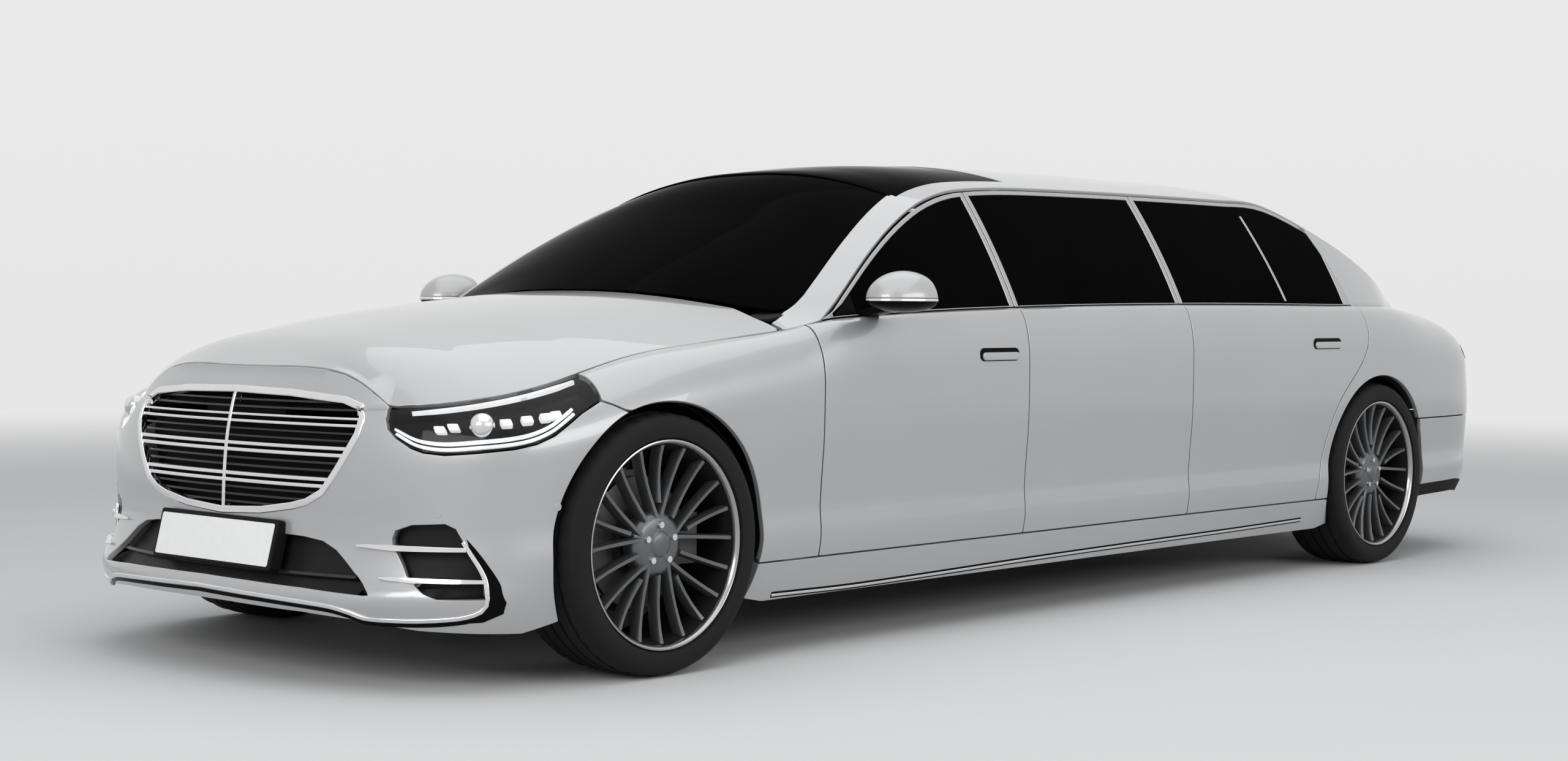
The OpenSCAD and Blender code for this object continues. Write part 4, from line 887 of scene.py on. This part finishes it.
# Rear quarters and rear pillars: steel pressings welded to the roof, from the rear doors round to the boot's corners.
def tail(w, q):
    """The skin at the tail: w runs from the left side to the right, 0 on the centre line."""
    return flank(GIRDLE - np.abs(w), q) * np.stack([np.where(w > 0, -1, 1), np.ones_like(w), np.ones_like(w)], 1)


def on_tail(rows):
    """(u, q) of points [x, z] on the tail, left side."""
    spots = [(z, *corner_at(x, z, True)) for x, z in rows]
    return np.array([[SIDE_END + np.interp(at, TAIL_A, TAIL_ARC), float(girth(y, z))] for z, at, y in spots])


TAIL_X, SPLIT = 600, 562


def boot_z(x, y):
    centre, reach = curve(y, BOOT), np.minimum(np.abs(x) / np.maximum(edge_x(y), TAIL_X), 1)
    return centre - (centre - edge_z(y)) * reach ** 2.6


def lid_line(x):
    """Point of the line where the lid's top turns down into its rear face."""
    z = 930.0
    for _ in range(40):
        z += 0.4 * (float(boot_z(x, corner_at(x, z, True)[1])) - z)
    return [x, corner_at(x, z, True)[1], z]


LID_LINE = [lid_line(x) for x in (0.5, 120, 240, 350, 440, 510, 560, TAIL_X)]
LID_Y, LID_Z = LID_LINE[-1][1:]
tail_edge = [[x, y, float(edge_z(y))] for x, y in edge_points(TAIL_START, LID_Y - 4, 20)]
quarter = np.concatenate([
    on_side(rear_line(1005, 300)), on_side([[RA - 466, SKIRT_TOP]] + arch_line(RA, -102, 57.5)),
    on_side([[RA + 340, SPLIT], [RA + 418, SPLIT]]),
    on_tail([[x, SPLIT] for x in (930, 900, 860, 800, 740, 680, 640, TAIL_X)]),
    on_tail([[TAIL_X, z] for z in np.linspace(640, LID_Z, 6)]), on_flank(tail_edge[::-1]),
    on_side(along_edge(RA + 418, RA - 104, 16))])
LAMP_TAIL = [[640, 806], [720, 797], [800, 792], [860, 790], [905, 795], [925, 808], [926, 830], [906, 852],
             [860, 866], [800, 874], [720, 878], [640, 878]]
tail_lamp = on_tail(LAMP_TAIL)
PILLAR_FOOT = RA + 530
pillar = (rear_line(1018, 1300, 20)
          + [[y, float(curve(y, RAIL)) - 1] for y in np.linspace(curve(1300, REAR_EDGE) + 4, PILLAR_FOOT, 28)]
          + [[y, z - 10] for y, z in along_edge(PILLAR_FOOT, RA - 90, 20)])
RED = mottled("red tail lens", 2.0, (0.07, 0.002, 0.002), (0.16, 0.007, 0.006), 0.12, gloss=0.25, relief=(0.001, 0.4),
              stretch=(40.0, 40.0, 400.0))
pair("rear_quarter_{}", flank, quarter, LACQUER, "body", "paint", ["rear_quarters"], holes=[tail_lamp], depth=16)
pair("rear_pillar_{}", window_plane, pillar, LACQUER, "body", "paint", ["rear_quarters"], depth=12, step=26, gap=0.6)
pair("tail_lamp_{}", proud(flank, 1), tail_lamp, RED, "body", "tail_lamp", ["tail_lamps"], depth=30, step=22, gap=1)


# Boot lid and rear bumper: a steel lid whose rear face carries a chrome bar, over a lacquered bumper with a black
# lower edge.
def boot_top(x, y):
    return np.stack([x, y, boot_z(x, y)], 1)


def tail_w(*runs):
    """Tail coordinates (w, q) of runs of (u, q) points on the left side."""
    return np.concatenate(runs) - [GIRDLE, 0]


LID_FRONT = RA + 554
half_lid = ([[0, LID_FRONT], [300, LID_FRONT + 2]] + edge_points(LID_FRONT + 5, LID_Y - 3, 16)
            + [p[:2] for p in LID_LINE[:0:-1]] + [[0, LID_LINE[0][1]]])
skin("boot_lid_top", boot_top, mirrored_loop(half_lid), LACQUER, "boot_lid", "paint", ["boot_lid"], depth=12, step=40,
     gap=1.2)
half_face = tail_w(on_tail([[x, SPLIT] for x in (0.5, 150, 300, 450, TAIL_X)]),
                   on_tail([[TAIL_X, z] for z in np.linspace(620, LID_Z, 6)]),
                   on_tail([[x, z] for x, y, z in LID_LINE[-2::-1]]))
skin("boot_lid_face", tail, mirrored_loop(half_face), LACQUER, "boot_lid", "paint", ["boot_lid"], depth=12, step=36,
     gap=1.2)
half_bar = tail_w(on_tail([[x, 800] for x in (0.5, 150, 300, 450, 590)]))
strip("boot_bar", across(half_bar)[::-1], 9, 4, CHROME, "trim", 8, 30, 3, "boot_lid", tail)
REAR_LOW = [[925, 250], [890, 240], [800, 232], [650, 226], [400, 222], [200, 220], [0.5, 220]]
rear_bumper = tail_w(on_tail([[x, SPLIT] for x in (0.5, 200, 400, 600, 700, 800, 860, 900, 930)]),
                     on_side([[RA + 418, SPLIT], [RA + 340, SPLIT]] + arch_line(RA, 61, 108, 14)[1:]
                             + [[RA + 410, 248]]), on_tail(REAR_LOW))
skin("rear_bumper_skin", tail, mirrored_loop(rear_bumper), LACQUER, "body", "paint", ["rear_bumper"], step=36)
half_edge = tail_w(on_side([[RA + 352, 266], [RA + 400, 270]]), on_tail([[x, z + 24] for x, z in REAR_LOW]))[::-1]
strip("rear_bumper_edge", across(half_edge)[::-1], 24, 2, BLACK, "trim", 6, 30, base=tail)


# Side skirts: lacquered mouldings screwed to the sills between the wheels, each with a dark slot that holds a bright
# strip.
SLOT = [[FA + 454, 178], [FA + 839, 174], [FA + 1759, 187], [FA + 2883, 197], [FA + 3407, 205]]
skirt = on_side([[FA + 376, SKIRT_TOP]] + arch_line(FA, 103, 118, 6) + [[FA + 420, 160], [RA - 420, 160]]
                + arch_line(RA, -118, -103, 6) + [[RA - 376, SKIRT_TOP]])
slot_path = smooth_path(on_side(SLOT), 60)
pair("side_skirt_{}", flank, skirt, LACQUER, "body", "paint", ["side_skirts"], depth=60, step=40)
strip("skirt_slot_{}", slot_path, 9, 1, PIANO, "trim", 5, 40, 1, make=pair)
strip("skirt_strip_{}", slot_path, 4, 4, CHROME, "trim", 6, 40, 1.6, make=pair)


# Scuttle: the black plastic cover between the bonnet and the windscreen, clipped to the bulkhead in three lengths,
# with gaps for the bonnet's arms.
def scuttle_skin(x, y):
    return np.stack([x, y, bonnet_z(np.minimum(np.abs(x), 700), y) - 16], 1)


half_scuttle = cowl_points((0, 250, 450, 620), -60) + cowl_points((620, 450, 250, 0), 40)
scuttle_end = [[678, FA + 566], [790, FA + 562], [790, FA + 650], [710, FA + 690], [678, FA + 672]]
skin("scuttle", scuttle_skin, mirrored_loop(half_scuttle), BLACK, "body", "trim", depth=8, step=60)
pair("scuttle_end_{}", scuttle_skin, scuttle_end, BLACK, "body", "trim", depth=8, step=40)


# Door trims: grip bars in shallow recesses, whose shade is painted as gloss black patches that show above and in
# front of each grip; a black corner panel behind the windscreen pillars; and the thin divider in the rear doors'
# glass.
for name, y0, z in (("front", FA + 1363, 851), ("rear", FA + 3418, 870)):
    # Each recess is a gloss black patch of painted shade. The grip sits low and set back in it, so the painted shadow
    # shows above and in front of the grip.
    pocket_shade = on_side(soft_corners(y0, y0 + 206, z - 21, z + 21, 20))
    grip = on_side(soft_corners(y0 + 12, y0 + 204, z - 20, z + 9, 14))
    pair(name + "_handle_pocket_{}", proud(flank, 0.8), pocket_shade, PIANO, name + "_door_{}", "trim", depth=5, step=30,
         fine=8, gap=0, hem=0.7)
    pair(name + "_handle_{}", proud(flank, 7), grip, LACQUER, name + "_door_{}", "paint", depth=9, step=30, fine=8,
         gap=0, hem=5)
sail = window_loop(FA + 756, FA + 850)
divider = [[RA - 614 - 0.10 * (z - 1020), z] for z in np.linspace(1030, 1352, 12)]
pair("corner_panel_{}", proud(window_plane, -2), sail, PIANO, "front_door_{}", "trim", depth=8, step=30, gap=0)
strip("rear_divider_{}", divider, 7, -1, BRIGHT, "trim", 5, 24, 1.5, "rear_door_{}", window_plane, pair, step=30)


# Door mirrors: a lacquered dome over a chrome strip and a black lower half, flat behind where the glass sits, on a
# black arm from the door's shoulder.
MIRROR = Vector((1.022, (FA + 903) / 1000, 1.016))
GLASS_BACK, SHARP_EDGE = 0.052, 0.6


def mirror_part(low, high, sizes):
    """Slice of the mirror's rounded housing between two heights, cut flat behind."""
    made = bmesh.new()
    bmesh.ops.create_uvsphere(made, u_segments=40, v_segments=24, radius=1.0)
    bmesh.ops.scale(made, verts=made.verts, vec=sizes)
    bmesh.ops.translate(made, verts=made.verts, vec=MIRROR)
    for at, facing in (((0, 0, low), (0, 0, -1)), ((0, 0, high), (0, 0, 1)),
                       ((0, MIRROR.y + GLASS_BACK, 0), (0, 1, 0))):
        cut = bmesh.ops.bisect_plane(made, geom=made.verts[:] + made.edges[:] + made.faces[:], plane_co=at,
                                     plane_no=facing, clear_outer=True)
        rim = [e for e in cut["geom_cut"] if isinstance(e, bmesh.types.BMEdge)]
        if rim:
            bmesh.ops.edgeloop_fill(made, edges=rim)
    bmesh.ops.recalc_face_normals(made, faces=made.faces)
    edges = [e for e in made.edges if len(e.link_faces) == 2 and e.calc_face_angle() > SHARP_EDGE]
    bmesh.ops.bevel(made, geom=edges, offset=0.0016, affect="EDGES", segments=2, profile=0.5, material=-1)
    return made


def block(size, middle, radius, tilt=0.0):
    """Block with rounded edges, tipped about a line along the car."""
    made = bmesh.new()
    bmesh.ops.create_cube(made, size=1)
    bmesh.ops.scale(made, verts=made.verts, vec=size)
    bmesh.ops.rotate(made, verts=made.verts, matrix=Matrix.Rotation(math.radians(tilt), 3, "Y"))
    bmesh.ops.translate(made, verts=made.verts, vec=middle)
    bmesh.ops.bevel(made, geom=made.edges[:], offset=radius, affect="EDGES", segments=4, profile=0.5, material=-1)
    return made


for letter, word, flip in SIDES:
    door = f"front_door_{word}"
    dome = mirror_part(1.0235, 1.2, (0.097, 0.133, 0.089))
    arm = block((0.14, 0.07, 0.022), (0.925, MIRROR.y - 0.01, 0.984), 0.009, -12)
    put(f"mirror_dome_{letter}", dome, LACQUER, door, "paint", flip, [f"mirror_{letter}"])
    for name, made, finish_ in (("strip", mirror_part(1.0145, 1.0225, (0.098, 0.134, 0.089)), CHROME),
                                ("base", mirror_part(0.98, 1.0135, (0.095, 0.130, 0.034)), PIANO),
                                ("arm", arm, PIANO)):
        put(f"mirror_{name}_{letter}", made, finish_, door, "trim", flip)


# Wheels: low tyres on cast rims with twenty spokes in groups of four, dark between, with a machined outer ring, five
# bolts and a plain cap. A steel brake disc shows behind the spokes.
RUBBER = mottled("tyre rubber", 7.0, 0.006, 0.013, 0.62, 0.2, gloss=0.2, relief=(0.0006, 0.25), grain=260.0)
CAST = mottled("cast rim", 300.0, (0.13, 0.133, 0.137), (0.17, 0.173, 0.177), 0.26, 0.1, metal=0.75)
RING = mottled("machined ring", 180.0, (0.36, 0.36, 0.37), (0.46, 0.46, 0.47), 0.16, 0.1, metal=1.0)
DISC = mottled("brake disc", 30.0, 0.07, (0.11, 0.105, 0.10), 0.4, 0.2, metal=0.8)
BEAD = [[110.5, 276], [110.5, 285], [117, 287], [121, 290], [124, 289], [126, 296], [127.5, 312], [127.5, 322],
        [125, 336], [117, 346], [104, 352], [88, 354.6], [72, 355.4]]
GROOVES = [[70, 355.4], [69, 348.5], [61, 348.5], [60, 355.6], [26, 356], [25, 349], [15, 349], [14, 356]]
half_tyre = BEAD + GROOVES
TYRE_LINE = [[-x, r] for x, r in half_tyre] + half_tyre[::-1]
BARREL_LINE = [[104, 270], [92, 264], [40, 252], [-90, 250], [-112, 262], [-119, 280], [-112, 283.5], [-110, 275],
               [104, 275]]
RING_LINE = [[104.5, 270], [112, 271.5], [119, 276], [121, 279.5], [120, 283], [113, 283.5], [111, 276.5],
             [104.5, 276.5]]
HUB_LINE = [[99, 0], [98.5, 26], [95, 33], [91, 36], [90, 44], [89, 66], [82, 82], [62, 92], [40, 92], [40, 0]]
DISC_LINE = [[-12, 60], [-12, 176], [-10, 180], [2, 180], [4, 176], [4, 100], [28, 92], [28, 60]]
WHEELS = (("FL", "front_wheel_left", 1, FA, 830), ("FR", "front_wheel_right", -1, FA, 830),
          ("RL", "rear_wheel_left", 1, RA, 844), ("RR", "rear_wheel_right", -1, RA, 844))
SPOKE_STEP, RIM_IN, BOLT_CIRCLE = math.radians(18), 271, 0.052
TREAD_IN, BLOCK_X, BLOCK_CUT = 0.350, 0.066, 0.004


def turned(line, steps=96, closed=True):
    """Ring from a closed outline [x, radius] turned about the wheel's axle."""
    made = bmesh.new()
    corners = [made.verts.new((x / 1000, 0, r / 1000)) for x, r in line]
    ends = list(zip(corners, corners[1:])) + ([(corners[-1], corners[0])] if closed else [])
    edges = [made.edges.new(pair) for pair in ends]
    bmesh.ops.spin(made, geom=corners + edges, cent=(0, 0, 0), axis=(1, 0, 0), angle=2 * math.pi, steps=steps,
                   use_merge=True)
    bmesh.ops.remove_doubles(made, verts=made.verts, dist=1e-6)
    bmesh.ops.recalc_face_normals(made, faces=made.faces)
    return made


def spoke(made, a0, r0, a1, r1):
    """Cast spoke from an angle and radius near the hub to one at the rim, with a rounded front."""
    start = np.array([math.sin(a0), math.cos(a0)]) * r0
    end = np.array([math.sin(a1), math.cos(a1)]) * r1
    along = (end - start) / np.linalg.norm(end - start)
    wide = np.array([along[1], -along[0]])
    rings = []
    for t in np.linspace(0, 1, 6):
        mid, half = start + (end - start) * t, 8.6 - 2.6 * t + 3.0 * t ** 6
        front = 88 - 5 * math.sin(math.pi * t) + 12 * t ** 3
        outline = [(-half, front - 34), (-half, front - 7), (-half * 0.6, front), (half * 0.6, front),
                   (half, front - 7), (half, front - 34)]
        rings.append([made.verts.new((x / 1000, *((mid + wide * w) / 1000))) for w, x in outline])
    for one, two in zip(rings, rings[1:]):
        for k in range(6):
            made.faces.new((one[k], one[(k + 1) % 6], two[(k + 1) % 6], two[k]))
    made.faces.new(rings[0][::-1])
    made.faces.new(rings[-1])


def spokes_and_hub():
    made, step = turned(HUB_LINE, 64, closed=False), SPOKE_STEP
    for group in range(5):
        bolt = 4 * step * group
        for a0, r0, a1 in ((bolt, 112, bolt), (bolt - 0.04, 60, bolt - step), (bolt + 0.04, 60, bolt + step),
                           (bolt + 2 * step, 84, bolt + 2 * step)):
            spoke(made, a0, r0, a1, RIM_IN)
    bmesh.ops.recalc_face_normals(made, faces=made.faces)
    return made


def bolts():
    made = bmesh.new()
    for group in range(5):
        a = math.radians(72 * group)
        head = bmesh.ops.create_cone(made, cap_ends=True, segments=12, radius1=0.0105, radius2=0.009, depth=0.012)
        ring = head["verts"]
        bmesh.ops.rotate(made, verts=ring, matrix=Matrix.Rotation(math.pi / 2, 3, "Y"))
        bmesh.ops.translate(made, verts=ring, vec=(0.091, BOLT_CIRCLE * math.sin(a), BOLT_CIRCLE * math.cos(a)))
    return made


def tyre():
    """Tyre with every third step of its shoulders cut in, as tread blocks."""
    made = turned(TYRE_LINE, 120)
    for v in made.verts:
        r, a = math.hypot(v.co.y, v.co.z), math.atan2(v.co.y, v.co.z)
        if r > TREAD_IN and abs(v.co.x) > BLOCK_X and round(a / math.radians(3)) % 3 == 0:
            v.co.y, v.co.z = v.co.y * (1 - BLOCK_CUT / r), v.co.z * (1 - BLOCK_CUT / r)
    return made


for tag, body, side, y, x in WHEELS:
    facing = Matrix.Rotation(0 if side > 0 else math.pi, 4, "Z")
    place = Matrix.Translation((side * x / 1000, y / 1000, AXLE_Z / 1000)) @ facing
    for name, made, finish_, slot, nodes in (
            ("tyre", tyre(), RUBBER, "tyre", [f"tyre_{tag}"]),
            ("rim_barrel", turned(BARREL_LINE), BLACK, "rim", [f"rim_{tag}"]),
            ("rim_ring", turned(RING_LINE), RING, "rim", []), ("rim_spokes", spokes_and_hub(), CAST, "rim", []),
            ("rim_bolts", bolts(), CHROME, "rim", []), ("brake_disc", turned(DISC_LINE), DISC, "steel", [])):
        bmesh.ops.transform(made, matrix=place, verts=made.verts)
        put(f"{name}_{tag}", made, finish_, body, slot, replaced=nodes)


# Arch liners: felted plastic shells inside the wheel arches, clipped to the panels' hems.
LINERS = {"F": [[896, 387], [884, 392], [850, 436], [700, 440]],
          "R": [[938, 386], [925, 388], [860, 396], [700, 398]]}
for tag, body, side, y, x in WHEELS:
    made = bmesh.new()
    corners = [made.verts.new((c / 1000, 0, r / 1000)) for c, r in LINERS[tag[0]]]
    edges = [made.edges.new(pair) for pair in zip(corners, corners[1:])]
    bmesh.ops.rotate(made, verts=made.verts, matrix=Matrix.Rotation(math.radians(-98), 3, "X"))
    bmesh.ops.spin(made, geom=corners + edges, cent=(0, 0, 0), axis=(1, 0, 0), angle=math.radians(196), steps=48)
    bmesh.ops.solidify(made, geom=made.faces[:], thickness=0.003)
    bmesh.ops.recalc_face_normals(made, faces=made.faces)
    bmesh.ops.translate(made, verts=made.verts, vec=(0, y / 1000, AXLE_Z / 1000))
    put(f"arch_liner_{tag}", made, BLACK, "body", "trim", side < 0)


# Seats: foam pads in stitched dark leather on moulded plinths, two at the front with headrests, and a bench at the
# rear against the boot's wall.
LEATHER = mottled("stitched leather", 6.0, (0.035, 0.032, 0.030), (0.060, 0.056, 0.052), 0.42, 0.2,
                  relief=(0.0006, 0.35), cells=420.0)
SQUARE, WAIST, CROWN, SEAM, PIPING = 7, 0.035, 0.16, 0.09, 0.78


def pad(name, middle, size, lean, channels):
    """Crowned pad with sewn channels across its face, tipped back by an angle. Sizes and places in metres."""
    made = bmesh.new()
    bmesh.ops.create_cube(made, size=2)
    bmesh.ops.subdivide_edges(made, edges=made.edges[:], cuts=31, use_grid_fill=True)
    half = Vector(size) / 2
    for v in made.verts:
        x, y, z = v.co
        shrink = (abs(x) ** SQUARE + abs(y) ** SQUARE + abs(z) ** SQUARE) ** (-1 / SQUARE)
        x, y, z = x * shrink, y * shrink, z * shrink
        pull = 1 - WAIST * (1 - abs(x * y)) * (1 - z * z)
        crown = CROWN * (1 - x * x) * (1 - y * y) if z > 0 else 0.0
        sewn = sum(math.exp(-((y - (2 * k / channels - 1)) / 0.030) ** 2) for k in range(1, channels))
        sewn += math.exp(-((abs(x) - PIPING) / 0.022) ** 2)
        top = z + (crown - SEAM * sewn if z > 0.3 else crown)
        v.co = (x * pull * half.x, y * pull * half.y, top * half.z / (1 + CROWN))
    bmesh.ops.smooth_vert(made, verts=made.verts, factor=0.25, use_axis_x=True, use_axis_y=True, use_axis_z=True)
    turn_back = Matrix.Rotation(math.radians(lean), 4, "X")
    bmesh.ops.transform(made, matrix=Matrix.Translation(middle) @ turn_back, verts=made.verts)
    put(name, made, LEATHER, "body", "trim", replaced=["seats"])


def plinth(name, low, high):
    low, high = Vector(low), Vector(high)
    put(name, block(high - low, (high + low) / 2, 0.02), BLACK, "body", "trim", replaced=["seats"])


FLOOR_TOP, BENCH = 0.2125, RA / 1000
for letter, side in (("L", 1), ("R", -1)):
    x, y = side * 0.42, (FA + 1150) / 1000
    plinth(f"seat_plinth_{letter}", (x - 0.23, y + 0.05, FLOOR_TOP), (x + 0.23, y + 0.50, FLOOR_TOP + 0.13))
    pad(f"seat_cushion_{letter}", (x, y + 0.25, FLOOR_TOP + 0.205), (0.53, 0.50, 0.17), 3, 5)
    pad(f"seat_back_{letter}", (x, y + 0.535, FLOOR_TOP + 0.47), (0.53, 0.58, 0.15), 83, 6)
    pad(f"headrest_{letter}", (x, y + 0.575, FLOOR_TOP + 0.80), (0.27, 0.15, 0.11), 85, 1)
    x = side * 0.35
    plinth(f"bench_plinth_{letter}", (x - 0.33, BENCH - 0.98, FLOOR_TOP), (x + 0.33, BENCH - 0.54, FLOOR_TOP + 0.10))
    pad(f"bench_cushion_{letter}", (x, BENCH - 0.76, FLOOR_TOP + 0.18), (0.68, 0.48, 0.18), 3, 5)
    pad(f"bench_back_{letter}", (side * 0.305, BENCH - 0.40, 0.69), (0.60, 0.45, 0.14), 84, 5)


# Structure: the pieces behind the panels keep their drawn shapes, in black underseal, cast steel and the cabin's soft
# black plastic.
UNDER = mottled("underseal", 220.0, 0.012, (0.022, 0.022, 0.021), 0.7, 0.2, gloss=0.2, relief=(0.002, 0.4))
STEEL = mottled("cast steel", 120.0, 0.10, (0.16, 0.158, 0.155), 0.45, 0.2, metal=0.7, relief=(0.001, 0.3))
SOFT = mottled("soft plastic", 4.0, (0.014, 0.014, 0.015), (0.024, 0.024, 0.025), 0.55, 0.15, gloss=0.25,
               relief=(0.0006, 0.3), cells=300.0)
DRESS = {UNDER: ["floor_pan", "front_subframe", "rear_axle"],
         STEEL: ["hinge_posts", "engine", "bonnet_arms", "boot_arms", "knuckle_L", "knuckle_R"],
         SOFT: ["dashboard", "front_card_L", "front_card_R", "rear_card_L", "rear_card_R"]}
for finish_, nodes in DRESS.items():
    for node in nodes:
        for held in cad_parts[node].material_slots:
            held.material = finish_
